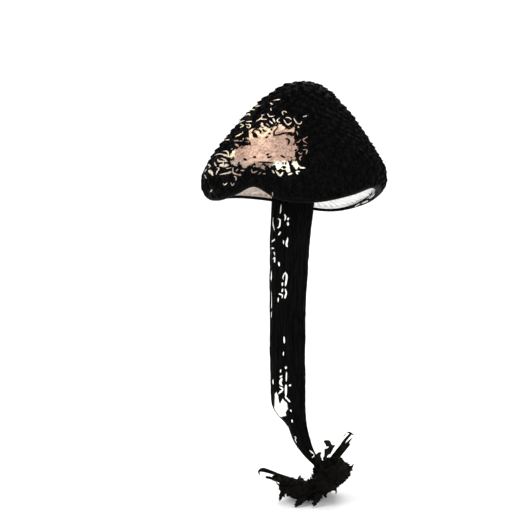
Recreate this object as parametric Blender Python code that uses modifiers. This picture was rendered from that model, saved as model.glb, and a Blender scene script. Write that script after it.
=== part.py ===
"""A shaggy ink cap, picked with the clod of earth, moss and straw that its foot grew in.

The mushroom stands on the flat underside of its clod. The origin is on that surface, under the middle of
the cap. +X is to the right of the front view, +Y goes away from the viewer and +Z is up. Lengths are in
metres, and most are written as a number of millimetres times MM.
"""

import math
import random

import bmesh
import bpy
import numpy as np
from mathutils import Matrix, Vector, noise
from mathutils.geometry import delaunay_2d_cdt, intersect_point_line

MM = 0.001
SEED = 11
FIT_GAP = 0.35 * MM  # between a piece and the one it sits in

# Cap, in its own frame: the axis is r = 0 and the margin's plane is z = 0.
RIM_HEIGHT = 103.9 * MM  # the margin's plane above the ground
CAP_HEIGHT = 39.8 * MM
CAP_SKIN = (  # radius and height in mm, from the crown over the shoulder to the inrolled lip
    (0.0, 39.6),
    (5.6, 38.4),
    (9.6, 35.8),
    (13.0, 32.6),
    (17.7, 27.5),
    (22.8, 20.9),
    (27.6, 14.1),
    (30.0, 9.6),
    (30.5, 6.2),
    (30.1, 3.6),
    (29.3, 1.5),
    (28.3, 0.4),
    (27.2, 0.3),
)
CAP_FLESH = (  # the underside of the flesh, in mm, from inside the lip to the ceiling over the stem
    (26.9, 1.3),
    (27.6, 3.0),
    (28.1, 5.6),
    (27.8, 8.4),
    (26.1, 11.6),
    (21.8, 18.2),
    (16.8, 24.6),
    (12.6, 29.2),
    (8.8, 31.9),
)
CEILING_HEIGHT = 32.9  # mm, on the axis
CAP_LEAN = 3.3 * MM  # how far the crown stands to the right of the margin's centre
CAP_CENTRE_X = -0.25 * MM
LEAN_POWER = 1.25
RIM_WAVE = (  # azimuth in degrees from +X towards +Y, and the margin's rise in mm
    (0, 1.6),
    (30, -0.9),
    (57, -2.4),
    (80, -1.2),
    (104, 1.4),
    (130, 2.1),
    (155, 1.0),
    (180, -0.4),
    (209, -2.0),
    (228, -0.9),
    (244, 1.2),
    (259, -2.6),
    (275, -4.0),
    (292, -3.4),
    (312, -1.0),
    (332, 2.0),
    (346, 2.4),
)
WAVE_FADE_HEIGHT = (2.0 * MM, 15.0 * MM)  # full below, gone above
WAVE_FADE_RADIUS = (9.0 * MM, 25.0 * MM)  # gone inside, full outside
RIM_SPREAD = 1.0 * MM  # how much wider the margin is at azimuth 0
SPREAD_FADE_HEIGHT = (2.5 * MM, 7.0 * MM)  # full below, gone above
LIP_SIDES = 64

# Shaggy scales: pointed tufts over the whole skin, each leaning down the cap.
SCALE_COUNT = 760
SCALED_SHARE = 0.965  # of the skin's area, the rest being the bare lip
SCALE_RISE = 1.05 * MM
SCALE_LEAN = 2.1  # how far a tip slides down the skin for each unit that it rises
SCALE_SWAY = 0.55  # sideways, in the same measure, at most
SCALE_FOOT = 0.15 * MM  # how deep the skin dips between tufts
CROWN_SCALES = (0.45, 0.06)  # size at the very top, and the share of the area where they are full size
LIP_SCALES = (0.12, 0.8 * MM, 5.0 * MM)  # size at the lip, and the heights where they start and end growing
GOLDEN_ANGLE = math.pi * (3 - math.sqrt(5))

# Gills: thin ridges that hang from the flesh, long and short ones by turns.
GILL_COUNT = 72
GILL_OUTER = 26.5  # mm
GILL_INNER = 8.2  # mm
GILL_EDGE = (1.6, 4.4)  # mm, height of the free edges at the outer and the inner end
GILL_DEPTH = (5.0, 22.0)  # mm, at the outer and the inner end
SHORT_GILL_ENDS = (12.0, 16.0)  # mm, radius where a short gill is gone and where it is full
GILL_RADII = (GILL_INNER, 12.0, 16.0, 21.0, GILL_OUTER)  # mm, of the points along a gill's free edge
GILL_WALL = (0.6, 4.0)  # mm under the ceiling, of the points where the gills end at the stem

# Stem: height, centre's x and radius, all in mm, from the top inside the cap to the root.
STEM_LINE = (
    (135.6, 2.3, 6.9),
    (120.0, 0.9, 6.9),
    (108.0, 0.1, 7.0),
    (100.0, -0.4, 7.0),
    (91.5, -1.1, 6.75),
    (80.5, -1.6, 6.5),
    (69.0, -1.9, 6.15),
    (52.0, -2.0, 5.9),
    (42.0, -1.9, 5.8),
    (34.5, -1.7, 5.5),
    (30.5, -0.6, 4.6),
    (27.0, 1.2, 3.2),
    (22.0, 2.8, 2.8),
    (18.0, 4.9, 2.3),
    (14.8, 7.4, 1.9),
    (10.8, 11.4, 1.3),
)
ROOT_POINTS = 3  # the last ones, which run in the clod's root hole
STEM_SIDES = 44
STEM_RINGS = 21
FIBRE_DEPTH = 0.22 * MM  # the ridges of the stem's fibres
FIBRE_WANDER = 0.3 * MM
FIBRE_NOISE = (2.2, 22.0)  # its steps across the stem, and for each metre along it
FIBRE_FULL_RADIUS = 6.0 * MM  # a thinner stretch has shallower ridges
ROOT_HOLE_RADIUS = 2.5 * MM
ROOT_HOLE_REACH = 0.8 * MM

# Clod: rounded lumps, centre and radii in mm. It is cut off level at z = 0, where the last lump and the
# tips of the longest leaves carry it.
CLOD_LUMPS = (
    ((14.4, 1.6, 11.0), (5.0, 8.0, 3.9)),
    ((11.2, 3.0, 7.8), (4.2, 9.0, 4.2)),
    ((2.2, 4.0, 5.2), (6.2, 7.8, 2.9)),
    ((12.2, 14.0, 7.2), (5.6, 9.6, 5.2)),
    ((4.4, 14.4, 2.0), (7.0, 8.0, 4.2)),
)
CLOD_SEED = 3
GROUND_BLOCK = 80 * MM  # the size of the block that cuts the clod off level
CLOD_ROUGHNESS = 0.75 * MM
CRUMB_SIZE = 2.6 * MM
LEAF_THICKNESS = 0.8 * MM

# Leaves of moss and litter on the clod: base, tip and widest width in mm, then curl and roll in radians.
SHOWN_LEAVES = (
    ((4.6, -1.5, 4.6), (-0.1, -4.8, -0.5), 3.8, 0.0, 0.2),
    ((10.0, -1.2, 6.4), (6.2, -5.0, -0.6), 3.4, 0.0, 0.1),
    ((5.4, 1.0, 4.0), (5.2, -1.0, 0.9), 2.8, 0.0, 0.3),
    ((-3.2, 3.2, 5.0), (-5.2, 5.4, -0.6), 2.4, 0.0, 0.3),
    ((-2.0, 1.0, 5.4), (-6.0, 0.4, 6.4), 2.8, 0.3, 0.2),
    ((-0.6, 2.0, 4.4), (-2.6, 2.6, 2.0), 2.6, 0.0, 0.4),
    ((0.4, 0.0, 6.2), (3.2, -0.6, 9.0), 2.8, 0.0, 0.3),
    ((5.0, 1.0, 6.4), (5.1, 0.0, 8.7), 2.4, 0.0, 0.2),
    ((7.4, -1.0, 7.0), (7.0, -2.0, 9.2), 2.0, 0.0, 0.3),
    ((15.8, 0.0, 12.6), (16.2, -0.4, 15.9), 2.8, 0.3, 0.5),
    ((17.2, 0.5, 11.2), (20.4, 0.0, 13.6), 3.0, 0.2, 0.4),
    ((10.0, 0.0, 4.6), (11.2, -1.6, 2.5), 2.4, 0.0, 0.3),
    ((12.6, 0.0, 6.6), (13.6, -1.2, 5.2), 2.4, 0.0, 0.5),
    ((15.2, 0.6, 9.0), (17.6, -0.6, 7.8), 2.8, 0.0, 0.4),
    ((8.6, -0.6, 10.6), (8.4, -1.0, 14.4), 3.4, 0.4, 0.6),
    ((9.2, -3.0, 9.0), (9.8, -3.5, 18.3), 3.0, 0.0, 0.3),
    ((11.4, -2.4, 12.4), (12.0, -3.4, 22.4), 3.2, 0.2, 0.3),
    ((13.2, -3.2, 20.6), (9.9, -3.6, 21.5), 2.3, 0.0, 0.2),
    ((12.0, -3.2, 18.6), (14.4, -3.4, 20.7), 1.6, 0.0, 0.3),
)
COVER_LEAVES = 21  # tried on each lump
COVER_LOWEST = -0.7  # height of the lowest one, as a share of the lump's radius
COVER_LEAF_LENGTH = (3.4, 4.8)  # mm
COVER_LEAF_WIDTH = (2.0, 3.0)  # mm
COVER_LIFT = (0.3, 1.1)  # mm, a tip's height over the tangent at its base
COVER_SINK = 0.7  # mm, how deep its base is
COVER_GROUND = 0.8 * MM  # no cover leaf comes nearer to the ground
COVER_CLEARANCE = 3.6 * MM  # from the root's line to a cover leaf's base
ROOTLETS = (  # frayed points of the foot: base, tip and width in mm
    ((2.0, -1.0, 22.5), (1.1, -1.4, 18.8), 1.3),
    ((3.6, -1.2, 19.8), (3.8, -1.8, 15.9), 1.5),
    ((5.4, -0.8, 18.2), (6.1, -1.2, 15.2), 1.3),
    ((2.6, 1.2, 21.5), (1.6, 3.2, 17.6), 1.3),
    ((4.6, 1.4, 18.6), (4.4, 3.2, 15.4), 1.3),
)

# Straws: the open end, the end in the clod and the outer radius, in mm. Both are split hollow stalks.
STRAWS = {
    "straw_left": ((-10.8, -1.0, 11.2), (2.4, 0.4, 6.8), 1.45),
    "straw_right": ((19.6, -0.8, 23.2), (12.7, 0.4, 14.3), 1.3),
}
STRAW_WALL = 0.6 * MM
STRAW_SLANT = 1.3 * MM  # how far the open end's upper side stands past its middle
STRAW_SIDES = 14

SOOT = (0.012, 0.011, 0.011)
PALE = (0.80, 0.74, 0.66)
EARTH = (0.022, 0.018, 0.013)
STRAW = (0.06, 0.05, 0.03)


def make_material(name, color, roughness):
    material = bpy.data.materials.new(name)
    material.use_nodes = True
    shader = material.node_tree.nodes["Principled BSDF"]
    shader.inputs["Base Color"].default_value = (*color, 1.0)
    shader.inputs["Roughness"].default_value = roughness
    shader.inputs["Metallic"].default_value = 0.0
    return material


def add_object(name, mesh, material, collection):
    obj = bpy.data.objects.new(name, mesh)
    if material:
        mesh.materials.append(material)
    collection.objects.link(obj)
    return obj


def shade(mesh):
    mesh.shade_smooth()
    mesh.set_sharp_from_angle(angle=math.radians(35))


def smooth_line(points, spans=12):
    """Points on a Catmull-Rom curve through the given ones, any number of values each."""
    given = np.array(points, float)
    line = np.vstack([2 * given[0] - given[1], given, 2 * given[-1] - given[-2]])
    steps = np.linspace(0, 1, spans, endpoint=False)[:, None]
    pieces = []
    for a, b, c, d in zip(line, line[1:], line[2:], line[3:]):
        pieces.append(
            0.5
            * (
                2 * b
                + (c - a) * steps
                + (2 * a - 5 * b + 4 * c - d) * steps**2
                + (3 * b - a - 3 * c + d) * steps**3
            )
        )
    return np.vstack([*pieces, given[-1]])


def ease(value, low, high):
    """0 at low and 1 at high, with smooth ends."""
    share = min(1.0, max(0.0, (value - low) / (high - low)))
    return share * share * (3 - 2 * share)


def mix(low, high, share):
    return low + (high - low) * share


def make_rim_wave():
    """The margin's rise as a function of the azimuth in radians."""
    turns = [(a + shift, rise) for shift in (-360, 0, 360) for a, rise in RIM_WAVE]
    curve = smooth_line(turns)

    def rise_at(azimuth):
        return float(np.interp(math.degrees(azimuth) % 360, curve[:, 0], curve[:, 1])) * MM

    return rise_at


rim_rise = make_rim_wave()


def cap_lean(height):
    """How far the cap's axis stands to the right at a height above the margin's plane."""
    return CAP_CENTRE_X + CAP_LEAN * max(0.0, height / CAP_HEIGHT) ** LEAN_POWER


def place_in_cap(point):
    """A point of the round, upright cap, moved to where the wavy, leaning cap has it."""
    radius = math.hypot(point.x, point.y)
    azimuth = math.atan2(point.y, point.x)
    outer = ease(radius, *WAVE_FADE_RADIUS)
    wave = rim_rise(azimuth) * outer * (1 - ease(point.z, *WAVE_FADE_HEIGHT))
    spread = RIM_SPREAD * outer * (1 - ease(point.z, *SPREAD_FADE_HEIGHT))
    spread *= max(0.0, math.cos(azimuth)) ** 2
    moved = on_circle(spread, azimuth, wave + RIM_HEIGHT)
    return point + moved + Vector((cap_lean(point.z), 0, 0))


def on_circle(radius, azimuth, height):
    return Vector((radius * math.cos(azimuth), radius * math.sin(azimuth), height))


class Skin:
    """The cap's outer surface, addressed by the share of its area above a point."""

    def __init__(self):
        line = smooth_line(CAP_SKIN) * MM
        line[:, 0] = np.maximum(line[:, 0], 0)
        steps = np.diff(line, axis=0)
        bands = (line[1:, 0] + line[:-1, 0]) * np.hypot(steps[:, 0], steps[:, 1])
        area = np.concatenate([[0], np.cumsum(bands)])
        self.line = line
        self.share = area / area[-1]
        slopes = np.gradient(line, axis=0)
        self.slopes = slopes / np.linalg.norm(slopes, axis=1)[:, None]

    def read(self, table, share):
        return [float(np.interp(share, self.share, column)) for column in table.T]

    def point(self, share, azimuth, rise=0.0, slide=0.0, sway=0.0):
        """A point raised off the skin, slid down it and moved sideways along it."""
        radius, height = self.read(self.line, share)
        out, down = Vector(self.read(self.slopes, share)).normalized()
        radius += rise * -down + slide * out
        height += rise * out + slide * down
        aside = Vector((-math.sin(azimuth), math.cos(azimuth), 0)) * sway
        return on_circle(radius, azimuth, height) + aside


def flat_points(skin_points):
    return [Vector((math.sqrt(s) * math.cos(a), math.sqrt(s) * math.sin(a))) for s, a in skin_points]


def triangles_round_tips(plane_points):
    """Delaunay triangles of points in a plane, as index triples."""
    made = delaunay_2d_cdt(plane_points, [], [], 0, 1e-7)
    origin = [group[0] for group in made[3]]
    return [tuple(origin[i] for i in face) for face in made[2]]


def make_cap_skin(mesh, skin, draw):
    """Adds the tufted skin to a bmesh, and returns its lip's vertices in order.

    Each tuft is a pyramid on the ring of centroids round its point, so the tufts cover the skin with no
    gaps, and its tip leans down the cap.
    """
    tips = [
        ((i + 0.5) / SCALE_COUNT * SCALED_SHARE, i * GOLDEN_ANGLE) for i in range(SCALE_COUNT)
    ]
    lip = [(1.0, 2 * math.pi * i / LIP_SIDES) for i in range(LIP_SIDES)]
    plane = flat_points(tips + lip)
    faces = triangles_round_tips(plane)

    corners = []
    for share, azimuth in tips:
        height = skin.read(skin.line, share)[1]
        size = SCALE_RISE * draw.uniform(0.75, 1.3)
        size *= mix(CROWN_SCALES[0], 1, ease(share, 0, CROWN_SCALES[1]))
        size *= mix(LIP_SCALES[0], 1, ease(height, *LIP_SCALES[1:]))
        slide = size * SCALE_LEAN * draw.uniform(0.8, 1.2)
        sway = size * SCALE_SWAY * draw.uniform(-1, 1)
        corners.append(skin.point(share, azimuth, size, slide, sway))
    corners += [skin.point(share, azimuth) for share, azimuth in lip]

    feet = []
    for face in faces:
        middle = sum((plane[i] for i in face), Vector((0, 0))) / 3
        azimuth = math.atan2(middle.y, middle.x)
        on_lip = any(i >= SCALE_COUNT for i in face)
        feet.append(skin.point(middle.length_squared, azimuth, 0.0 if on_lip else -SCALE_FOOT))

    made_corners = [mesh.verts.new(place_in_cap(p)) for p in corners]
    made_feet = [mesh.verts.new(place_in_cap(p)) for p in feet]
    sides = {}
    for number, face in enumerate(faces):
        for a, b in zip(face, face[1:] + face[:1]):
            sides.setdefault(frozenset((a, b)), []).append((a, b, number))
    for shared in sides.values():
        a, b, first = shared[0]
        if len(shared) == 1:
            mesh.faces.new((made_corners[a], made_corners[b], made_feet[first]))
            continue
        second = shared[1][2]
        mesh.faces.new((made_corners[a], made_feet[second], made_feet[first]))
        mesh.faces.new((made_corners[b], made_feet[first], made_feet[second]))
    return made_corners[SCALE_COUNT:]


def make_cap(material, collection):
    draw = random.Random(SEED)
    mesh = bmesh.new()
    ring = make_cap_skin(mesh, Skin(), draw)
    azimuths = [2 * math.pi * i / LIP_SIDES for i in range(LIP_SIDES)]
    for radius, height in CAP_FLESH:
        level = [
            mesh.verts.new(place_in_cap(on_circle(radius * MM, a, height * MM))) for a in azimuths
        ]
        for i in range(LIP_SIDES):
            j = (i + 1) % LIP_SIDES
            mesh.faces.new((ring[i], level[i], level[j], ring[j]))
        ring = level
    middle = mesh.verts.new(place_in_cap(Vector((0, 0, CEILING_HEIGHT * MM))))
    for i in range(LIP_SIDES):
        mesh.faces.new((ring[i], middle, ring[(i + 1) % LIP_SIDES]))
    bmesh.ops.recalc_face_normals(mesh, faces=mesh.faces)
    made = bpy.data.meshes.new("cap")
    mesh.to_mesh(made)
    mesh.free()
    return add_object("cap", made, material, collection)


def turned_mesh(name, profile, steps):
    """The mesh of a profile, in metres at +X and running top to bottom, turned about Z by a Screw."""
    line = bpy.data.meshes.new(name)
    count = len(profile)
    closed = profile[0][0] > 0
    edges = [(i, i + 1) for i in range(count - 1)]
    if closed:
        edges.append((count - 1, 0))
    line.from_pydata([(r, 0, z) for r, z in profile], edges, [])
    guide = bpy.data.objects.new(name + "_profile", line)
    bpy.context.scene.collection.objects.link(guide)
    screw = guide.modifiers.new("turn", "SCREW")
    screw.axis = "Z"
    screw.angle = 2 * math.pi
    screw.steps = steps
    screw.render_steps = steps
    screw.use_merge_vertices = True
    screw.merge_threshold = 1e-6
    graph = bpy.context.evaluated_depsgraph_get()
    made = bpy.data.meshes.new_from_object(guide.evaluated_get(graph))
    bpy.data.objects.remove(guide)
    bpy.data.meshes.remove(line)
    made.name = name
    return made


def warp(mesh, move):
    """Moves every vertex of a mesh by a formula."""
    for vertex in mesh.vertices:
        vertex.co = move(vertex.co.copy())
    mesh.update()


def set_in(points, gap):
    """A line of (radius, height) points moved to its right-hand side by a gap."""
    line = np.array(points, float)
    ahead = np.gradient(line, axis=0)
    ahead /= np.linalg.norm(ahead, axis=1)[:, None]
    return line + gap * np.stack([-ahead[:, 1], ahead[:, 0]], axis=1)


def between(radius, ends):
    """A value between its outer-end and inner-end figures, for a gill point's radius in mm."""
    share = (GILL_OUTER - radius) / (GILL_OUTER - GILL_INNER)
    return mix(*ends, min(1.0, max(0.0, share)))


def make_gills(material, collection):
    """A pleated body that fills the cap under its flesh: its ridges are the gills' free edges."""
    roof = [(r, z) for r, z in set_in(CAP_FLESH[1:], FIT_GAP / MM) if r > GILL_INNER]
    edges = [(r, between(r, GILL_EDGE)) for r in GILL_RADII]
    inner_wall = [(GILL_INNER, roof[-1][1] - drop) for drop in GILL_WALL]
    loop = inner_wall + edges + roof
    columns = 2 * GILL_COUNT
    made = turned_mesh("gills", [(r * MM, z * MM) for r, z in reversed(loop)], columns)

    def pleat(point):
        radius = math.hypot(point.x, point.y) / MM
        column = round(math.atan2(point.y, point.x) / (2 * math.pi) * columns) % columns
        groove = 1.0
        if column % 4 == 0:
            groove = 0.0
        elif column % 4 == 2:
            groove = 1 - ease(radius, *SHORT_GILL_ENDS)
        floor = between(radius, GILL_EDGE) + groove * between(radius, GILL_DEPTH)
        point.z = max(point.z, floor * MM)
        return place_in_cap(point)

    warp(made, pleat)
    return add_object("gills", made, material, collection)


def stem_table():
    """Heights, centres and radii along the stem, with the heights rising."""
    return smooth_line(STEM_LINE)[::-1] * MM


def make_stem(material, collection, helpers):
    table = stem_table()
    heights = np.interp(
        np.linspace(0, 1, STEM_RINGS), np.linspace(0, 1, len(table)), table[::-1, 0]
    )
    top, foot = heights[0], heights[-1]
    rings = [(float(np.interp(z, table[:, 0], table[:, 2])), z) for z in heights]
    profile = [(0, top), (rings[0][0] * 0.8, top), *rings[1:-1], (rings[-1][0], foot), (0, foot)]
    made = turned_mesh("stem", profile, STEM_SIDES)

    def grow(point):
        radius = math.hypot(point.x, point.y)
        azimuth = math.atan2(point.y, point.x)
        column = round(azimuth / (2 * math.pi) * STEM_SIDES)
        share = min(1.0, radius / FIBRE_FULL_RADIUS)
        seen = on_circle(FIBRE_NOISE[0], azimuth, point.z * FIBRE_NOISE[1])
        fibre = FIBRE_DEPTH * (1 if column % 2 else -1) + FIBRE_WANDER * noise.noise(seen)
        if radius > 0:
            point.x += math.cos(azimuth) * fibre * share
            point.y += math.sin(azimuth) * fibre * share
        point.x += float(np.interp(point.z, table[:, 0], table[:, 1]))
        return point

    warp(made, grow)
    stem = add_object("stem", made, material, collection)
    for number, (base, tip, width) in enumerate(ROOTLETS):
        name = f"rootlet_{number}"
        shape = leaf_mesh(name, Vector(base) * MM, Vector(tip) * MM, width * MM)
        add_object(name, shape, None, helpers)
    cut(stem, helpers, "UNION")
    keep_main_body(stem)
    shade(stem.data)
    return stem


def leaf_mesh(name, base, tip, width, curl=0.0, roll=0.0):
    """A pointed leaf with a diamond section. Its length is the straight one from base to tip, and curl
    bends it out of that line, by so many radians at its tip."""
    stations = ((0.0, 0.5), (0.32, 1.0), (0.72, 0.62), (1.0, 0.0))
    length = (tip - base).length
    heading = (tip - base).normalized()
    side = heading.cross(Vector((0, 1, 0))).normalized()
    side = Matrix.Rotation(roll, 3, heading) @ side
    over = heading.cross(side)
    mesh = bmesh.new()
    rings = []
    place = base.copy()
    last = 0.0
    for share, broad in stations:
        turn = curl * share
        along = heading * math.cos(turn) - side * math.sin(turn)
        across = side * math.cos(turn) + heading * math.sin(turn)
        place = place + along * (share - last) * length
        last = share
        if broad == 0:
            rings.append([mesh.verts.new(place)])
            continue
        thick = LEAF_THICKNESS / 2 * (0.6 + 0.4 * broad)
        half = width / 2 * broad
        offsets = (across * half, over * thick, across * -half, over * -thick)
        rings.append([mesh.verts.new(place + offset) for offset in offsets])
    mesh.faces.new(rings[0])
    for lower, upper in zip(rings, rings[1:]):
        for i in range(4):
            j = (i + 1) % 4
            if len(upper) == 1:
                mesh.faces.new((lower[i], lower[j], upper[0]))
            else:
                mesh.faces.new((lower[i], lower[j], upper[j], upper[i]))
    bmesh.ops.recalc_face_normals(mesh, faces=mesh.faces)
    made = bpy.data.meshes.new(name)
    mesh.to_mesh(made)
    mesh.free()
    return made


def inside_lump(point, lump):
    return sum(((p - c) / r) ** 2 for p, c, r in zip(point, *lump)) < 0.9


def near_root(point):
    line = [Vector((x, 0, z)) * MM for z, x, _ in STEM_LINE[-ROOT_POINTS - 2 :]]
    closest = [intersect_point_line(point, a, b) for a, b in zip(line, line[1:])]
    ends = zip(line, line[1:], closest)
    gaps = [(point - a.lerp(b, min(1, max(0, at[1])))).length for a, b, at in ends]
    return min(gaps) < COVER_CLEARANCE


def cover_leaves(draw):
    """Small leaves that lie over the lumps like shingles: base, tip, width, curl and roll of each."""
    leaves = []
    for lump in CLOD_LUMPS:
        others = [other for other in CLOD_LUMPS if other is not lump]
        for i in range(COVER_LEAVES):
            level = 1 + (COVER_LOWEST - 1) * (i + 0.5) / COVER_LEAVES
            turn = i * GOLDEN_ANGLE + draw.uniform(-0.3, 0.3)
            way = on_circle(math.sqrt(1 - level * level), turn, level)
            spot = Vector([c + r * w for c, r, w in zip(*lump, way)])
            outward = Vector([w / r for r, w in zip(lump[1], way)]).normalized()
            tangent = outward.cross(Vector([draw.uniform(-1, 1) for _ in range(3)]))
            base = (spot - outward * COVER_SINK) * MM
            length = draw.uniform(*COVER_LEAF_LENGTH) * MM
            tip = base + tangent.normalized() * length + outward * draw.uniform(*COVER_LIFT) * MM
            width = draw.uniform(*COVER_LEAF_WIDTH) * MM
            buried = any(inside_lump(spot, other) for other in others)
            if buried or near_root(base) or min(base.z, tip.z) < COVER_GROUND:
                continue
            leaves.append((base, tip, width, 0.0, face_roll(base, tip, outward)))
    return leaves


def face_roll(base, tip, outward):
    """The roll that turns a leaf's broad face outward."""
    heading = (tip - base).normalized()
    side = heading.cross(Vector((0, 1, 0))).normalized()
    over = heading.cross(side)
    return -math.atan2(outward.dot(side), outward.dot(over))


def cut(obj, cutter, operation="DIFFERENCE"):
    """Applies one EXACT Boolean, and removes the cutter or the cutters' collection."""
    boolean = obj.modifiers.new("cut", "BOOLEAN")
    boolean.operation = operation
    boolean.solver = "EXACT"
    if isinstance(cutter, bpy.types.Collection):
        boolean.operand_type = "COLLECTION"
        boolean.collection = cutter
    else:
        boolean.object = cutter
    graph = bpy.context.evaluated_depsgraph_get()
    made = bpy.data.meshes.new_from_object(obj.evaluated_get(graph))
    obj.modifiers.clear()
    old = obj.data
    obj.data = made
    bpy.data.meshes.remove(old)
    members = list(cutter.objects) if isinstance(cutter, bpy.types.Collection) else [cutter]
    for member in members:
        bpy.data.objects.remove(member)


def keep_main_body(obj):
    """Drops loose scraps and fills sealed hollows: only the piece with the most faces stays."""
    mesh = bmesh.new()
    mesh.from_mesh(obj.data)
    left = set(mesh.faces)
    bodies = []
    while left:
        front = [left.pop()]
        body = set(front)
        while front:
            near = {f for e in front.pop().edges for f in e.link_faces} & left
            left -= near
            body |= near
            front += near
        bodies.append(body)
    largest = max(bodies, key=len)
    scraps = [f for f in mesh.faces if f not in largest]
    bmesh.ops.delete(mesh, geom=scraps, context="FACES")
    mesh.to_mesh(obj.data)
    mesh.free()


def frame_along(start, end):
    """A matrix whose Z runs from start to end."""
    along = (end - start).normalized()
    return Matrix.Translation(start) @ along.to_track_quat("Z", "Y").to_matrix().to_4x4()


def rod(name, start, end, radius, sides, collection):
    """A plain cylinder between two points, as a cutter."""
    mesh = bmesh.new()
    length = (end - start).length
    bmesh.ops.create_cone(
        mesh, cap_ends=True, segments=sides, radius1=radius, radius2=radius, depth=length
    )
    bmesh.ops.translate(mesh, verts=mesh.verts, vec=(0, 0, length / 2))
    made = bpy.data.meshes.new(name)
    mesh.to_mesh(made)
    mesh.free()
    obj = add_object(name, made, None, collection)
    obj.matrix_world = frame_along(start, end)
    obj.hide_render = True
    obj.display_type = "WIRE"
    return obj


def make_lump(name, centre, radii, material, collection):
    """A crumbly lump: an icosphere that is scaled, then roughened by noise."""
    mesh = bmesh.new()
    bmesh.ops.create_icosphere(mesh, subdivisions=2, radius=1.0)
    for vertex in mesh.verts:
        way = vertex.co.normalized()
        place = Vector([(c + r * w) * MM for c, r, w in zip(centre, radii, way)])
        lump = noise.noise(place / CRUMB_SIZE) + 0.5 * noise.noise(place / CRUMB_SIZE * 2.1)
        vertex.co = place + way * lump * CLOD_ROUGHNESS
    made = bpy.data.meshes.new(name)
    mesh.to_mesh(made)
    mesh.free()
    return add_object(name, made, material, collection)


def ground_block(collection):
    """A block whose top is the ground, as a cutter."""
    mesh = bmesh.new()
    bmesh.ops.create_cube(mesh, size=GROUND_BLOCK)
    bmesh.ops.translate(mesh, verts=mesh.verts, vec=(0, 0, -GROUND_BLOCK / 2))
    made = bpy.data.meshes.new("ground")
    mesh.to_mesh(made)
    mesh.free()
    obj = add_object("ground", made, None, collection)
    obj.hide_render = True
    obj.display_type = "WIRE"
    return obj


def make_clod(material, collection, helpers):
    clod = make_lump("soil_clod", *CLOD_LUMPS[-1], material, collection)
    for number, (centre, radii) in enumerate(CLOD_LUMPS[:-1]):
        make_lump(f"lump_{number}", centre, radii, None, helpers)

    draw = random.Random(CLOD_SEED)
    shown = [
        (Vector(base) * MM, Vector(tip) * MM, width * MM, curl, roll)
        for base, tip, width, curl, roll in SHOWN_LEAVES
    ]
    for number, leaf in enumerate(shown + cover_leaves(draw)):
        name = f"moss_leaf_{number}"
        add_object(name, leaf_mesh(name, *leaf), None, helpers)
    cut(clod, helpers, "UNION")
    keep_main_body(clod)
    cut(clod, ground_block(helpers))
    return clod


def make_straw(name, start, end, radius, material, collection):
    """A hollow dry stalk, whose open end is cut slantwise with its upper side longer."""
    length = (end - start).length
    bore = radius - STRAW_WALL
    profile = [(radius, length), (radius, 0), (bore, 0), (bore, length)]
    made = turned_mesh(name, profile, STRAW_SIDES)

    def slant(point):
        if point.z < length / 2:
            point.z -= STRAW_SLANT * point.y / radius
        return point

    warp(made, slant)
    shade(made)
    obj = add_object(name, made, material, collection)
    obj.matrix_world = frame_along(start, end)
    return obj


def build():
    for obj in list(bpy.data.objects):
        bpy.data.objects.remove(obj)
    parts = bpy.data.collections.new("shaggy_ink_cap")
    helpers = bpy.data.collections.new("cutters")
    bpy.context.scene.collection.children.link(parts)
    bpy.context.scene.collection.children.link(helpers)

    soot = make_material("cap_skin", SOOT, 0.6)
    pale = make_material("gill", PALE, 0.7)
    fibre = make_material("stem_fibre", SOOT, 0.6)
    earth = make_material("earth", EARTH, 0.9)
    straw = make_material("straw", STRAW, 0.7)

    make_cap(soot, parts)
    make_gills(pale, parts)
    make_stem(fibre, parts, helpers)
    clod = make_clod(earth, parts, helpers)

    root = [Vector((x, 0, z)) * MM for z, x, _ in STEM_LINE[-ROOT_POINTS:]]
    for number, (start, end) in enumerate(zip(root, root[1:])):
        reach = (end - start).normalized() * ROOT_HOLE_REACH
        name = f"root_hole_{number}"
        cut(clod, rod(name, start - reach, end + reach, ROOT_HOLE_RADIUS, 16, helpers))
    for name, (start, end, radius) in STRAWS.items():
        start, end, radius = Vector(start) * MM, Vector(end) * MM, radius * MM
        beyond = end + (end - start).normalized() * FIT_GAP
        cut(clod, rod(name + "_hole", start, beyond, radius + FIT_GAP, STRAW_SIDES, helpers))
        make_straw(name, start, end, radius, straw, parts)
    keep_main_body(clod)


build()
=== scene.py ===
"""Looks of the shaggy ink cap: finer cap, gills, stem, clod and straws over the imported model, with node
materials, a plain pale floor, soft light and the camera of the front view.

Points and lengths are in millimetres until a mesh is made, unless a comment says otherwise. Some strokes
and outlines are given in pixels of the front view, which the camera below looks at: front_pixels(),
on_cap() and on_stem() go from one to the other.
"""

import math
import random

import bmesh
import bpy
import numpy as np
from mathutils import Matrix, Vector, noise
from mathutils.geometry import delaunay_2d_cdt
from mathutils.kdtree import KDTree


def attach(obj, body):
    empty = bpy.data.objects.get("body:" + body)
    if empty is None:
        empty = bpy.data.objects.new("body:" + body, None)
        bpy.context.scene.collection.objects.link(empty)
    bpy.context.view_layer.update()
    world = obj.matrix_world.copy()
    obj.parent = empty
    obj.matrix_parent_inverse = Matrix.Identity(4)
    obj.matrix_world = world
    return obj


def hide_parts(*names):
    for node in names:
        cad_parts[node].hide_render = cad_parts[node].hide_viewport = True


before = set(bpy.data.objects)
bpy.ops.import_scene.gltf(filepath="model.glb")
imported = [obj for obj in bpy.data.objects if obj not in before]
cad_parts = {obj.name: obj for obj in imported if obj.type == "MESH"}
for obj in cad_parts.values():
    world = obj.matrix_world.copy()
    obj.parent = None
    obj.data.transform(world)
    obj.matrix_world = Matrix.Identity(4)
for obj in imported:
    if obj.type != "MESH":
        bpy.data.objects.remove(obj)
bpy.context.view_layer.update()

MM = 0.001
SEED = 11
TURN = 2 * math.pi
GOLDEN_ANGLE = math.pi * (3 - math.sqrt(5))

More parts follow.
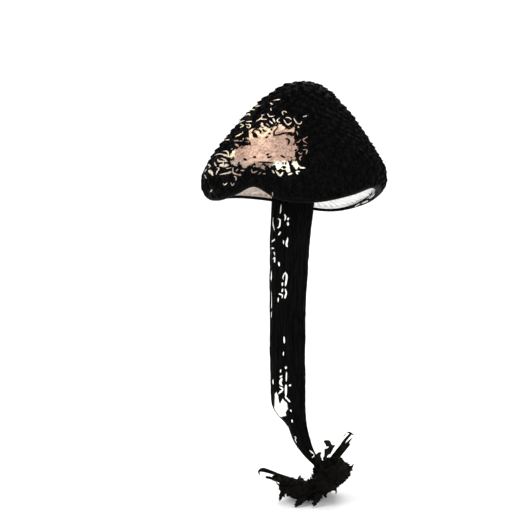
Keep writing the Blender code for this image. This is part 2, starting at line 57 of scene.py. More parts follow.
# Camera, level and straight ahead.
EYE = (0.0, -320.0, 72.8)
FOCAL_PIXELS = 941.0
EYE_COLUMN = 293.5
EYE_ROW = 290.9
PICTURE = 512
SENSOR = 36.0

# The cap's formulas, as in the part's source.
RIM_HEIGHT = 103.9
CAP_HEIGHT = 39.8
CAP_SKIN = (
    (0.0, 39.6), (5.6, 38.4), (9.6, 35.8), (13.0, 32.6), (17.7, 27.5), (22.8, 20.9), (27.6, 14.1),
    (30.0, 9.6), (30.5, 6.2), (30.1, 3.6), (29.3, 1.5), (28.3, 0.4), (27.2, 0.3),
)
CAP_FLESH = (
    (26.9, 1.3), (27.6, 3.0), (28.1, 5.6), (27.8, 8.4), (26.1, 11.6), (21.8, 18.2), (16.8, 24.6),
    (12.6, 29.2), (8.8, 31.9),
)
CEILING_HEIGHT = 32.9
CAP_LEAN = 3.3
CAP_CENTRE_X = -0.25
LEAN_POWER = 1.25
RIM_WAVE = (
    (0, 1.6), (30, -0.9), (57, -2.4), (80, -1.2), (104, 1.4), (130, 2.1), (155, 1.0), (180, -0.4),
    (209, -2.0), (228, -0.9), (244, 1.2), (259, -2.6), (275, -4.0), (292, -3.4), (312, -1.0),
    (332, 2.0), (346, 2.4),
)
WAVE_FADE_HEIGHT = (2.0, 15.0)
WAVE_FADE_RADIUS = (9.0, 25.0)
RIM_SPREAD = 1.0
SPREAD_FADE_HEIGHT = (2.5, 7.0)
SCALE_COUNT = 760
SCALED_SHARE = 0.965
SCALE_RISE = 1.05
SCALE_LEAN = 2.1
SCALE_SWAY = 0.55
CROWN_SCALES = (0.45, 0.06)
LIP_SCALES = (0.12, 0.8, 5.0)

GILL_COLUMNS = 144
GILL_OUTER = 26.5
GILL_INNER = 8.2
GILL_EDGE = (1.6, 4.4)
GILL_DEPTH = (5.0, 22.0)
SHORT_GILL_ENDS = (12.0, 16.0)
THIRD_GILL_ENDS = (19.5, 22.5)
FIT_GAP = 0.35

STEM_LINE = (
    (135.6, 2.3, 6.9), (120.0, 0.9, 6.9), (108.0, 0.1, 7.0), (100.0, -0.4, 7.0), (91.5, -1.1, 6.75),
    (80.5, -1.6, 6.5), (69.0, -1.9, 6.15), (52.0, -2.0, 5.9), (42.0, -1.9, 5.8), (34.5, -1.7, 5.5),
    (30.5, -0.6, 4.6), (27.0, 1.2, 3.2), (22.0, 2.8, 2.8), (18.0, 4.9, 2.3), (14.8, 7.4, 1.9),
    (10.8, 11.4, 1.3),
)


def pairs(flat):
    return np.reshape(np.array(flat, float), (-1, 2))


# Worn places of the cap, outlined in pixels of the front view: column and row of each corner. There the pale
# ground shows through the black, as a painted highlight on the cap's lit front left.
WORN_HIGHLIGHT_CAP = [pairs(outline) for outline in (
    (
        260.2, 128, 260, 124.6, 261.8, 122.4, 263.6, 124.2, 263.4, 126.8, 266, 126.3, 269.5, 128.4,
        273, 126.2, 275.6, 124.4, 278, 123.8, 281, 124, 285, 127.2, 288.5, 129.3, 291.5, 127, 294.4, 125.6,
        294.4, 131, 293.6, 136, 294.4, 142.5, 295.8, 145.6, 299, 147.6, 298.4, 150, 295.2, 152, 294.6, 156,
        295.6, 159, 292, 160.3, 288.6, 162, 283, 162.6, 276, 163.5, 272.6, 166.2, 267.2, 168, 264.3, 170,
        261, 168, 255.4, 166.4, 253.4, 163.9, 250.2, 166.2, 247.6, 168.8, 243, 167.6, 241, 164.4,
        237.8, 165.6, 234.5, 166.4, 230.3, 162.4, 231, 159, 229.6, 155.8, 232.8, 150.8, 237, 149,
        241, 146.6, 247.8, 145.6, 250.6, 143.6, 246.5, 142.4, 243.4, 140.6, 242.8, 138.2, 247, 137.6,
        249.6, 136.9, 248.2, 133.6, 248.6, 130.4, 251.6, 128.9, 256, 129,
    ),
    (
        275.1, 164.7, 280.9, 163.1, 288.4, 162.2, 289.6, 168, 290.9, 170.5, 287.6, 172.2, 285.1, 169.7,
        280.1, 168, 277.6, 169.7, 275.5, 167.2,
    ),
    (
        291.7, 161.4, 296.7, 161, 298.3, 164.7, 300.8, 166.4, 298.3, 167.2, 295.8, 170.5, 293.4, 166.8,
        290.5, 165.6, 293.4, 163.9,
    ),
)]
# The worn place at the left of the stem's foot, in the same way: pale like mycelium, and a painted highlight
# on the stem's lit left side.
WORN_HIGHLIGHT_STEM = [pairs(outline) for outline in (
    (
        274.8, 394, 276.5, 392, 278, 396, 278.6, 402, 280.2, 403.6, 283, 399, 285, 402, 287.3, 404,
        287.6, 409, 285.5, 413, 286, 415.5, 281, 417, 278, 416, 275, 413, 274.4, 405,
    ),
)]
# Strokes: width, then column and row of each point, in pixels. Pale fibres round the cap's worn place, part
# of its painted highlight.
PALE_HIGHLIGHT_CURLS = (
    (1.6, 273.3, 100.5, 280.1, 99.4), (1.5, 270.3, 102.9, 272.6, 104.6), (1.4, 270.6, 107.9, 271.4, 110.7),
    (1.7, 255.6, 106.5, 260.6, 105.4), (1.5, 246.1, 111.8, 251.1, 109.6, 254.8, 109.8),
    (1.8, 246.1, 115.4, 248.6, 114, 250.4, 115.4),
    (1.3, 283.4, 115, 282.2, 112.5, 284.2, 111.2, 286.7, 112.5), (1.2, 303.1, 116.8, 307.3, 115.6),
    (1.5, 260.4, 113.7, 263.9, 114.6), (1.4, 267.5, 113.7, 270.1, 116.6, 274.7, 115.8),
    (1.3, 285.1, 117.9, 288.4, 117.5, 291.5, 119.5),
    (1.4, 293.8, 118.7, 297.1, 123.3, 300.8, 123.7, 301.6, 121.2), (2.2, 297.9, 126.8, 298.7, 128),
    (1.2, 296.7, 131.6, 297.9, 135.3), (1.3, 296.3, 142.3, 298.7, 141.9, 300.8, 139.4),
    (1.3, 307.5, 136.9, 302.9, 140.3, 307.5, 143.6), (1.2, 302.9, 145.7, 306.6, 145.5),
    (1.4, 302.9, 149.8, 307, 149.8, 305.8, 154.4), (1.6, 297.1, 146.5, 298.5, 149),
    (1.4, 298.3, 152.7, 300.8, 154.4, 302.6, 153.1), (1.4, 302.1, 155.6, 299.6, 158.1, 300.8, 160.2),
    (1.7, 238.6, 122.8, 244.4, 120.4), (1.5, 246.1, 121.6, 251.9, 121.4),
    (1.4, 239.9, 127.4, 243.6, 125.8, 239.9, 123.7),
    (1.5, 245.3, 124.1, 250.2, 124.9, 249.4, 127.8, 246.5, 126.7),
    (2.4, 235.3, 136.9, 239.5, 134.5, 242.8, 131.6), (1.8, 256, 121.6, 261, 118.3, 262.3, 115.8),
    (2, 261, 119.1, 266.8, 119.5), (2.5, 261.8, 122.4, 261.8, 126.6), (1.6, 266, 123.3, 269.3, 126.6),
    (1.8, 269.3, 120.8, 272.6, 123.7), (2, 273, 118.3, 275.1, 122.4),
    (1.6, 279.7, 117.5, 277.2, 120.8, 280.1, 122.4), (2.8, 283.4, 119.9, 287.6, 124.8, 291.7, 122.4),
    (2, 233.7, 140.7, 238.6, 140.7), (2, 239.5, 140.7, 246.9, 142.3), (2, 234.5, 143.6, 238.6, 146.5),
    (1.6, 225.4, 139.8, 229.5, 139.8), (1.7, 214.5, 155.5, 218.4, 154, 223.7, 154.6, 227.5, 156),
    (2.6, 223, 155, 226.5, 155.6, 230.5, 157.6), (1.6, 223.2, 151.4, 226.1, 150.9, 228, 152.6, 228.8, 156),
    (1.3, 231, 149.2, 232.5, 148.7), (2.3, 235.3, 143.4, 238.4, 146.2),
    (2.2, 217.7, 159.2, 218.9, 161.3, 223, 161.4), (1.5, 220.8, 157.9, 224.7, 159.4, 226.6, 161.2),
    (1.6, 222, 161.2, 227.8, 161.4), (2, 223.1, 161, 223.8, 164.6),
    (4.2, 219.6, 165.2, 223.6, 165.2, 229, 165.4), (1.5, 214.3, 161.8, 215, 164.2, 216.2, 165.9),
    (1.7, 208, 164.2, 210.4, 166.4, 208.7, 167.8), (1.5, 206.8, 169, 204.8, 171.7),
    (4, 208.6, 170.8, 211.6, 172.6, 213, 175.6),
    (1.9, 216.7, 167.6, 219.3, 168.6, 217.1, 171.6, 216.1, 175), (1.5, 204.6, 175.1, 206.6, 178.8),
    (1.5, 219.4, 174.8, 225.7, 173.4, 231.5, 172.2), (2.6, 227.4, 173.4, 231.8, 171.6),
    (1.1, 226.1, 168.7, 231.5, 167.6), (2, 233.2, 167.4, 233.3, 172.9, 240.9, 175.4),
    (2.4, 238.8, 174.6, 241.2, 175.2), (1.9, 233.9, 176.1, 236.1, 177.8, 235.6, 180.8),
    (1.4, 235.7, 171.1, 238.1, 169), (1.5, 240.6, 170.5, 244.6, 170.5),
    (1.2, 223, 183.2, 224.4, 184.9, 227.2, 182.9), (1.4, 231, 182.8, 232.2, 185.4, 234.7, 183.1),
    (1.4, 210.1, 192, 212, 189.9), (1.6, 251.5, 168.9, 252.7, 172.6, 257.7, 170.9),
    (2, 255.2, 164.7, 253.1, 167.2), (1.2, 261, 172.2, 258.1, 174.7), (1.4, 262.7, 173.8, 265.6, 173.8),
    (1.8, 272.2, 170.1, 274.3, 173.4), (2.4, 275.5, 170.5, 280.1, 175.5, 283, 172.2),
    (2, 288, 174.7, 292.5, 173), (1.8, 295.8, 171.4, 297.9, 174.3), (2, 299.6, 167.6, 305.4, 167.9),
    (1.5, 296.3, 171.4, 299.6, 171.4), (1.2, 272.5, 192.1, 272.5, 196.2),
)
# Pale fibres on the inner face of the lip, at the far right.
LIP_CURLS = (
    (1.3, 376.3, 192.5, 373.2, 195.4, 369.5, 198.5), (1.6, 368, 200.5, 364.6, 202, 361.4, 203.1),
    (1, 360.3, 203.4, 357.4, 205, 354.8, 206.5),
)
# Black fibres that hang off the lip there, over the ends of the gills.
LIP_DARK_CURLS = (
    (1.7, 345, 207.4, 352, 205.7, 358.8, 202.9), (2, 357, 203.6, 364.2, 199.8, 369.6, 195.6),
    (1.9, 368.6, 196.6, 372, 193.5, 375.4, 190.4), (1.1, 369.8, 195.8, 369.4, 193.8, 368.4, 192.4),
)
# Black fibres that still lie on the worn place, in its painted highlight.
DARK_CURLS = (
    (2, 259.4, 130.7, 255.2, 129.1, 252.3, 132.4, 255.2, 134, 257.3, 137.4),
    (1.8, 253.1, 134, 254.4, 136.5, 257.3, 137),
    (1.6, 278.8, 124.5, 276.4, 129.1, 273, 132.8, 275.1, 135.5, 281.8, 133.6, 289.2, 132.4, 294.6, 133.2),
    (1.7, 282.2, 119.1, 285.9, 125.8, 288, 128.7, 291.7, 127.4, 294.6, 124.9),
    (1.8, 286.3, 135, 290, 133.6, 291.7, 135.3, 294.6, 134),
    (1.5, 285.1, 138.6, 288, 139, 289.2, 141.5, 287.6, 145.2), (1.8, 270.6, 132.8, 268.1, 134),
    (1.6, 267.7, 136.1, 265.3, 138.2), (1.5, 265.6, 124.5, 268.9, 127.4),
    (1.8, 267.7, 122.4, 271, 125.8, 273.5, 126.6, 271.8, 127.8),
    (1.5, 275.1, 121.6, 277.6, 123.7, 275.5, 125.8), (1.6, 268.9, 153.5, 266, 155.2),
    (1.4, 272.2, 156.4, 266.8, 157.7), (1.5, 280.5, 155.4, 285.5, 157.7), (1.5, 290.3, 157.5, 292, 158.1),
    (1.7, 243.6, 158.5, 246.9, 160.4), (1.5, 252.7, 157.9, 254.4, 156.7, 255.8, 157.9),
    (2, 239.5, 142.3, 244.4, 141.9, 247.8, 144, 251.1, 144.8),
    (1.6, 280.9, 167.2, 285.1, 166.8, 283.4, 168.9), (1.3, 251.1, 166.4, 255.2, 162.7),
    (1.4, 261, 165.6, 263.5, 163.9, 266.8, 166.4, 268.5, 164.7), (1.5, 288.4, 160.6, 290, 162.7),
    (1.2, 290.5, 164.7, 293.4, 166), (1.1, 257.7, 161.8, 268.5, 162.4, 275.1, 163.2),
    (1.6, 243.6, 139.2, 246.2, 141, 249.4, 140.2), (1.5, 262.6, 128.8, 264.4, 131.2, 267.4, 130.4),
    (1.6, 258.6, 129.4, 260.6, 131.4, 260, 133.6),
)
# Pale fibres of the stem: painted highlights down its lit left front.
STEM_HIGHLIGHT_CURLS = (
    (1.7, 281.1, 204.4, 280.3, 213.4), (2, 284.4, 214.2, 285.2, 217.2, 284.4, 220.6),
    (1.8, 288.7, 217.5, 287.6, 220), (2.2, 287.8, 222, 288.2, 225.8),
    (2.2, 277.8, 219, 280, 219.4, 279.8, 225.3, 278.1, 228), (1.5, 273.4, 217, 274.6, 230.5),
    (2, 280.8, 231.5, 278.4, 235), (1.6, 275, 239, 271.8, 242.6),
    (2, 287.2, 237.3, 287.6, 239, 286.4, 244.2, 287.5, 246.9), (1.4, 283.2, 240.3, 283.4, 244.2),
    (1.4, 271.8, 249.3, 272.5, 248, 274.1, 248.6), (1.6, 274, 252, 275, 255.4),
    (2.2, 273.2, 259.1, 275.2, 257.8, 274.8, 262.5), (2.2, 278.9, 262, 279.3, 266.4),
    (2, 283.4, 280, 282.5, 276.6, 285.9, 272.8, 286.6, 277.5, 285.5, 286), (1.8, 282.2, 282.4, 282, 286),
    (1.8, 282.5, 288.6, 281.7, 292), (1.6, 278.4, 293.6, 282.2, 295.4, 281.5, 298.2),
    (1.8, 285.2, 288.8, 286.1, 292.9, 284.9, 298.4), (1.8, 278.4, 297.6, 277.6, 302.4),
    (1.3, 271.6, 289, 271.5, 298.9, 271.7, 308.3), (1.3, 271.7, 311.7, 271.7, 317.7),
    (1.8, 271.2, 270.5, 271.9, 276, 271.3, 282), (1.6, 284.2, 336.5, 284.4, 343.4),
    (1.5, 283.7, 351.5, 283.3, 355.6), (2, 286.3, 366.4, 285.6, 369), (1.4, 281.1, 369.2, 280.6, 372.5),
    (1.4, 286.5, 372, 286.3, 381.6), (1.6, 282.4, 375.5, 280, 377.5),
    (2.6, 282.1, 378.1, 280.4, 382.9, 282.8, 386), (2, 291, 384.8, 289, 386),
    (1.6, 273.7, 379.4, 273.7, 384.6), (2, 279.3, 386.8, 282.8, 389, 280.6, 392, 278.5, 393.8),
    (2.2, 286.1, 384.6, 285.9, 396.8), (1.8, 284.7, 395.9, 286.7, 398.5, 290.2, 402),
    (1.8, 290.6, 409.6, 291.5, 411.8), (1.4, 291.9, 419.3, 292.3, 422.4),
    (1.1, 294.5, 436.7, 296.5, 437.5, 295.4, 439.7, 297.1, 442.7),
    (1.3, 309.3, 450.1, 314, 454.9, 311.9, 457.9),
)


def smooth_line(points, spans=12):
    """Points on a Catmull-Rom curve through the given ones, any number of values each."""
    given = np.array(points, float)
    line = np.vstack([2 * given[0] - given[1], given, 2 * given[-1] - given[-2]])
    steps = np.linspace(0, 1, spans, endpoint=False)[:, None]
    pieces = []
    for a, b, c, d in zip(line, line[1:], line[2:], line[3:]):
        bend, twist = 2 * a - 5 * b + 4 * c - d, 3 * b - a - 3 * c + d
        pieces.append(0.5 * (2 * b + (c - a) * steps + bend * steps**2 + twist * steps**3))
    return np.vstack([*pieces, given[-1]])


def ease(value, low, high):
    """0 at low and 1 at high, with smooth ends."""
    share = np.clip((np.asarray(value, float) - low) / (high - low), 0, 1)
    return share * share * (3 - 2 * share)


def mix(low, high, share):
    return low + (high - low) * share


def unit(vectors):
    return vectors / np.maximum(np.linalg.norm(vectors, axis=-1, keepdims=True), 1e-9)


def circle(count):
    return np.linspace(0, TURN, count, endpoint=False)


def polar(radius, azimuth, height):
    return np.stack(np.broadcast_arrays(radius * np.cos(azimuth), radius * np.sin(azimuth), height), -1)


def ripple(points, size, seed=0.0):
    """Smooth noise of about -1 to 1 at each point, with lumps of a size in mm."""
    flat = np.asarray(points, float).reshape(-1, 3) / size + seed
    return np.array([noise.noise(Vector(p)) for p in flat.tolist()]).reshape(np.shape(points)[:-1])


# The cap's skin, addressed by the distance down it from the crown.
SKIN = smooth_line(CAP_SKIN, 16)
SKIN[:, 0] = np.maximum(SKIN[:, 0], 0)
SKIN_STEPS = np.hypot(*np.diff(SKIN, axis=0).T)
ARC = np.concatenate([[0], np.cumsum(SKIN_STEPS)])
SKIN_BANDS = (SKIN[1:, 0] + SKIN[:-1, 0]) * SKIN_STEPS
AREA = np.concatenate([[0], np.cumsum(SKIN_BANDS)]) / SKIN_BANDS.sum()
SLOPE = unit(np.gradient(SKIN, axis=0))
RIM = smooth_line([(a + turn, rise) for turn in (-360, 0, 360) for a, rise in RIM_WAVE])


def skin_at(arc, azimuth, lift=0.0):
    """Points of the round, upright cap, raised off its skin."""
    radius, height, out, down = (np.interp(arc, ARC, values) for values in (*SKIN.T, *SLOPE.T))
    return polar(radius - lift * down, azimuth, height + lift * out)


def cap_lean(height):
    return CAP_CENTRE_X + CAP_LEAN * np.maximum(0.0, height / CAP_HEIGHT) ** LEAN_POWER


def rim_rise(x, y, height):
    wave = np.interp(np.degrees(np.arctan2(y, x)) % 360, *RIM.T)
    return wave * (1 - ease(height, *WAVE_FADE_HEIGHT)) * ease(np.hypot(x, y), *WAVE_FADE_RADIUS)


def rim_spread(x, y, height):
    """How far the margin is drawn out to the right, along x and y."""
    radius = np.maximum(np.hypot(x, y), 1e-9)
    spread = RIM_SPREAD * ease(radius, *WAVE_FADE_RADIUS) * (1 - ease(height, *SPREAD_FADE_HEIGHT))
    spread = spread * np.maximum(0, x / radius) ** 2
    return spread * x / radius, spread * y / radius


def place_in_cap(points):
    """Points of the round, upright cap, moved to where the wavy, leaning cap has them."""
    x, y, z = np.moveaxis(points, -1, 0)
    out_x, out_y = rim_spread(x, y, z)
    return np.stack([x + out_x + cap_lean(z), y + out_y, z + rim_rise(x, y, z) + RIM_HEIGHT], -1)


def round_cap(points):
    """The reverse of place_in_cap, by a few steps of iteration."""
    x, y, z = np.moveaxis(points, -1, 0)
    height = z - RIM_HEIGHT
    for _ in range(4):
        height = z - RIM_HEIGHT - rim_rise(x - cap_lean(height), y, height)
    x = x - cap_lean(height)
    out_x, out_y = rim_spread(x, y, height)
    return np.stack([x - out_x, y - out_y, height], -1)


def pixel_size(points):
    """Millimetres that a pixel covers at points."""
    return (points[..., 1] - EYE[1]) / FOCAL_PIXELS


def front_pixels(points):
    """Where the camera sees points, as columns and rows."""
    x, y, z = np.moveaxis(points, -1, 0)
    scale = FOCAL_PIXELS / (y - EYE[1])
    return np.stack([EYE_COLUMN + (x - EYE[0]) * scale, EYE_ROW - (z - EYE[2]) * scale], -1)


def along_sight(pixels, depth):
    """Points at a depth from the camera behind pixels."""
    column, row = np.moveaxis(np.asarray(pixels, float), -1, 0)
    x = EYE[0] + (column - EYE_COLUMN) / FOCAL_PIXELS * depth
    z = EYE[2] + (EYE_ROW - row) / FOCAL_PIXELS * depth
    return np.stack([x, EYE[1] + depth + 0 * x, z], -1)


def first_inside(pixels, depths, outside):
    """The nearest points behind pixels where outside() isn't above 0, or else where it is least."""
    ahead = [along_sight(pixels, depth) for depth in depths]
    gaps = np.array([outside(points) for points in ahead])
    hit = gaps <= 0
    chosen = np.where(hit.any(0), hit.argmax(0), gaps.argmin(0))
    return np.array(ahead)[chosen, np.arange(len(chosen))]


CAP_DEPTHS = np.arange(286.0, 322.0, 0.1)  # mm from the camera where on_cap looks for the skin


def on_cap(pixels):
    """The distance down the skin and the azimuth of what pixels of the front view show."""

    def outside(points):
        x, y, height = np.moveaxis(round_cap(points), -1, 0)
        radius = np.interp(height, SKIN[::-1, 1], SKIN[::-1, 0])
        beyond = np.maximum(SKIN[-1, 1] - height, 0) + np.maximum(height - SKIN[0, 1], 0)
        return np.hypot(x, y) - radius + 3 * beyond

    x, y, height = round_cap(first_inside(pixels, CAP_DEPTHS, outside)).T
    return np.interp(height, SKIN[::-1, 1], ARC[::-1]), np.arctan2(y, x)


def inside_depth(pixels, outlines):
    """How far pixels lie inside the nearest outline, in pixels, and below 0 outside all."""
    deepest = np.full(len(pixels), -99.0)
    for start in outlines:
        end = np.roll(start, -1, axis=0)
        span = end - start
        share = np.einsum("pek,ek->pe", pixels[:, None] - start, span) / (span**2).sum(1)
        near = start + np.clip(share, 0, 1)[..., None] * span
        gap = np.linalg.norm(pixels[:, None] - near, axis=-1).min(1)
        above = (start[:, 1] > pixels[:, 1:]) != (end[:, 1] > pixels[:, 1:])
        rise = np.where(span[:, 1] == 0, 1e-9, span[:, 1])
        crossing = start[:, 0] + (pixels[:, 1:] - start[:, 1]) * span[:, 0] / rise
        inside = (above & (pixels[:, :1] < crossing)).sum(1) % 2 == 1
        deepest = np.maximum(deepest, np.where(inside, gap, -gap))
    return deepest


FAR_OUTSIDE = -20  # pixels, for what the front view doesn't show


def worn_highlight_depth(points, outlines):
    """inside_depth for points on the front of the object, and far outside for those at its back."""
    flat = points.reshape(-1, 3)
    depth = inside_depth(front_pixels(flat), outlines)
    return np.where(flat[:, 1] < -0.5, depth, FAR_OUTSIDE).reshape(points.shape[:-1])


TUFT_DRAWS = ((0.75, 1.3), (0.8, 1.2), (-1, 1))  # ranges of each tuft's size, slide and sway


def make_tufts():
    """Distance down the skin, azimuth, size, slide and sway of each tuft, as the part's source draws them."""
    draw = random.Random(SEED)
    number = np.arange(SCALE_COUNT)
    share = (number + 0.5) / SCALE_COUNT * SCALED_SHARE
    arc = np.interp(share, AREA, ARC)
    grown, slid, swayed = np.array([[draw.uniform(*span) for span in TUFT_DRAWS] for _ in number]).T
    size = SCALE_RISE * grown * mix(CROWN_SCALES[0], 1, ease(share, 0, CROWN_SCALES[1]))
    size = size * mix(LIP_SCALES[0], 1, ease(np.interp(arc, ARC, SKIN[:, 1]), *LIP_SCALES[1:]))
    return arc, number * GOLDEN_ANGLE, size, size * SCALE_LEAN * slid, size * SCALE_SWAY * swayed


TUFT_ARC, TUFT_AZIMUTH, TUFT_SIZE, TUFT_SLIDE, TUFT_SWAY = make_tufts()
TUFT_BASE = skin_at(TUFT_ARC, TUFT_AZIMUTH)
TUFT_TREE = KDTree(SCALE_COUNT)
for tuft_number, tuft_base in enumerate(TUFT_BASE):
    TUFT_TREE.insert(Vector(tuft_base), tuft_number)
TUFT_TREE.balance()
TUFT_ROOT = 1.6  # mm above its base that a tuft starts
TUFT_TIP = (0.55, 0.5)  # mm below its base that it ends, and the share of its slide that is added
TUFT_POWER = 1.3  # how its height grows from root to tip
TUFT_WIDTH = 1.25
TUFT_EDGE = (0.5, 0.25)  # mm over which it falls off at its sides and at its tip
NEAR_TUFTS = 7
# In the worn place, which is also painted as a highlight, the tufts are flattened to this share of their
# height.
WORN_HIGHLIGHT_SHARE = 0.3  # of the tufts' height that is left where the skin is worn
CALM_LEVELS = (6.0, 13.0)  # heights over the rim between which the tufts stand out more
CALM_SHARES = (0.75, 0.22)  # how much of the tufts' relief is evened out below and above
CALM_RISE = 0.78
SKIN_GRAIN = (0.05, 0.5)  # depth and size of the skin's own roughness
SHOULDER = ((-17.2, 0.0, 132.4), 2.9, 0.75)  # where the left flank swells, how wide and how far, in mm


def tuft_relief(arc, azimuth):
    """The tufts' height over the skin: overlapping shingles whose pointed lower ends stand out."""
    flat_arc, flat_azimuth = arc.ravel(), azimuth.ravel()
    spots = skin_at(flat_arc, flat_azimuth)
    near = np.array([[n for _, n, _ in TUFT_TREE.find_n(p, NEAR_TUFTS)] for p in spots.tolist()])
    away = spots[:, None] - TUFT_BASE[near]
    out, down, level = (np.interp(flat_arc, ARC, values) for values in (*SLOPE.T, SKIN[:, 1]))
    c, s = np.cos(flat_azimuth), np.sin(flat_azimuth)
    along = np.einsum("ptk,pk->pt", away, np.stack([out * c, out * s, down], -1))
    tip = TUFT_TIP[0] + TUFT_SLIDE[near] * TUFT_TIP[1]
    across = np.einsum("ptk,pk->pt", away, np.stack([-s, c, 0 * c], -1))
    across = across - TUFT_SWAY[near] * ease(along, 0, tip)
    grown = np.clip((along + TUFT_ROOT) / (TUFT_ROOT + tip), 0, 1) ** TUFT_POWER
    width = TUFT_WIDTH * np.sqrt(1 - np.clip((along + 0.3) / (tip + 0.3), 0, 1) ** 2)
    edge = ease(width - np.abs(across), 0, TUFT_EDGE[0]) * ease(tip - along, 0, TUFT_EDGE[1])
    height = (TUFT_SIZE[near] * grown * edge).max(1)
    calm_height = CALM_RISE * mix(LIP_SCALES[0], 1, ease(level, *LIP_SCALES[1:]))
    height = mix(height, calm_height, mix(*CALM_SHARES, ease(level, *CALM_LEVELS)))
    placed = place_in_cap(spots)
    height = height * mix(1.0, WORN_HIGHLIGHT_SHARE, ease(worn_highlight_depth(placed, WORN_HIGHLIGHT_CAP), -1.0, 2.0))
    height = height + SKIN_GRAIN[0] * ripple(spots, SKIN_GRAIN[1])
    swell = np.exp(-((placed - SHOULDER[0]) ** 2).sum(-1) / (2 * SHOULDER[1] ** 2))
    return (height + SHOULDER[2] * swell).reshape(arc.shape)


def show(name, data):
    """A new object in the scene."""
    obj = bpy.data.objects.new(name, data)
    bpy.context.scene.collection.objects.link(obj)
    return obj


def add_mesh(name, mesh, material, replaced=()):
    """A smooth-shaded piece from a mesh."""
    mesh.name = name
    mesh.materials.append(material)
    mesh.shade_smooth()
    obj = show(name, mesh)
    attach(obj, "root")
    if replaced:
        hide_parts(*replaced)
    return obj


def add_piece(name, points, faces, material, replaced=(), worn_highlight=None):
    """A piece from points in mm. Any depth in the worn place, which is painted as a highlight, becomes an
    attribute of its points.
    """
    mesh = bpy.data.meshes.new(name)
    mesh.from_pydata((np.asarray(points, float).reshape(-1, 3) * MM).tolist(), [], faces)
    mesh.update()
    if worn_highlight is not None:
        attribute = mesh.attributes.new("worn_highlight", "FLOAT", "POINT")
        attribute.data.foreach_set("value", np.asarray(worn_highlight, np.float32).ravel())
    return add_mesh(name, mesh, material, replaced)


def face_outward(obj):
    work = bmesh.new()
    work.from_mesh(obj.data)
    bmesh.ops.recalc_face_normals(work, faces=work.faces)
    work.to_mesh(obj.data)
    work.free()


def stitch(lower, upper):
    """Triangles between two rings of vertex numbers that start at the same azimuth."""
    faces = []
    i = j = 0
    m, n = len(lower), len(upper)
    while i < m or j < n:
        if j >= n or (i < m and (i + 1) / m <= (j + 1) / n):
            faces.append((lower[i % m], lower[(i + 1) % m], upper[j % n]))
            i += 1
        else:
            faces.append((lower[i % m], upper[(j + 1) % n], upper[j % n]))
            j += 1
    return faces


def fan(ring, middle):
    """Triangles between a ring of vertex numbers and a vertex in its middle."""
    return [(a, b, middle) for a, b in zip(ring, ring[1:] + ring[:1])]


def grid_faces(rows, columns, closed_rows=False):
    """Quads of a grid of vertex numbers that wraps round its columns."""
    number = np.arange(rows * columns).reshape(rows, columns)
    if closed_rows:
        number = np.vstack([number, number[:1]])
    beside = np.roll(number, -1, axis=1)
    return np.stack([number[:-1], beside[:-1], beside[1:], number[1:]], -1).reshape(-1, 4).tolist()


def shifted(faces, start):
    return [[start + i for i in face] for face in faces]


SHELL_STEP = 0.36
FLESH_SIDES = 160
FEWEST_SIDES = 8
LIP_FADE = (0.2, 3.0)  # mm before the skin's end over which the tufts fade


def make_cap_shell(material, flesh_material):
    """The cap's skin with its tufts, its lip and the flesh that the gills hang from."""
    arcs = np.linspace(0, ARC[-1], round(ARC[-1] / SHELL_STEP))[1:]
    radii = np.interp(arcs, ARC, SKIN[:, 0])
    rings = [circle(max(FEWEST_SIDES, round(TURN * radius / SHELL_STEP))) for radius in radii.tolist()]
    arcs = np.concatenate([[0.0], np.repeat(arcs, [len(ring) for ring in rings])])
    azimuths = np.concatenate([[0.0], *rings])
    height = tuft_relief(arcs, azimuths) * ease(ARC[-1] - arcs, *LIP_FADE)
    points = list(place_in_cap(skin_at(arcs, azimuths, height)))
    last = list(range(1, 1 + len(rings[0])))
    faces = fan(last, 0)
    for ring in rings[1:]:
        lower = list(range(last[-1] + 1, last[-1] + 1 + len(ring)))
        faces += stitch(lower, last)
        last = lower
    for radius, level in smooth_line(CAP_FLESH, 3):
        inner = list(range(len(points), len(points) + FLESH_SIDES))
        points += list(place_in_cap(polar(radius, circle(FLESH_SIDES), level)))
        faces += stitch(inner, last)
        last = inner
    points.append(place_in_cap(np.array([0, 0, CEILING_HEIGHT])))
    faces += fan(last[::-1], len(points) - 1)
    points = np.array(points)
    # How deep each point lies in the worn place, which the material paints pale as a highlight.
    worn_highlight = worn_highlight_depth(points, WORN_HIGHLIGHT_CAP)
    worn_highlight[len(arcs) :] = FAR_OUTSIDE
    shell = add_piece("cap_shell", points, faces, material, ("cap",), worn_highlight)
    shell.data.materials.append(flesh_material)
    pale = [int(min(face) >= len(arcs)) for face in faces]
    shell.data.polygons.foreach_set("material_index", pale)


def add_strands(name, paths, normals, widths, thickness, material):
    """Flattened strands with a three-sided section, one for each path."""
    along = unit(np.gradient(paths, axis=1))
    aside = unit(np.cross(along, normals))
    above = np.cross(aside, along)
    half = widths[..., None] / 2
    corners = np.stack([paths + aside * half, paths - aside * half, paths + above * half * 2 * thickness], 2)
    number = np.arange(corners.size // 3).reshape(corners.shape[:3])
    after = np.roll(number, -1, axis=2)
    quads = np.stack([number[:, :-1], after[:, :-1], after[:, 1:], number[:, 1:]], -1)
    faces = quads.reshape(-1, 4).tolist() + number[:, 0, ::-1].tolist() + number[:, -1].tolist()
    add_piece(name, corners, faces, material)


def cap_paths(arcs, azimuths, lifts):
    """Placed points and outward directions of paths along the cap."""
    low = place_in_cap(skin_at(arcs, azimuths, lifts))
    return low, unit(place_in_cap(skin_at(arcs, azimuths, lifts + 0.2)) - low)


FIBRES_EACH = 7
FIBRE_TAPER = (0.7, 1.0, 0.95, 0.7, 0.15)
FIBRE_LENGTHS = (1.7, 3.3)
FIBRE_WIDTHS = (0.28, 0.5)
FIBRE_TURNS = (0.42, 0.9)  # radians that they usually start aslant by and bend
FIBRE_STARTS = ((-1.0, 0.6), (-0.9, 0.9))  # mm from the tuft's base, down the skin and across
FLICK = (0.05, 0.38)  # mm that the ends of fibres stand off
FLICK_LEVELS = (4.0, 13.0)  # heights over the rim between which they do so more
CLEAR_OF_PALE = 3.0  # pixels round the pale curls that stay free of fibres


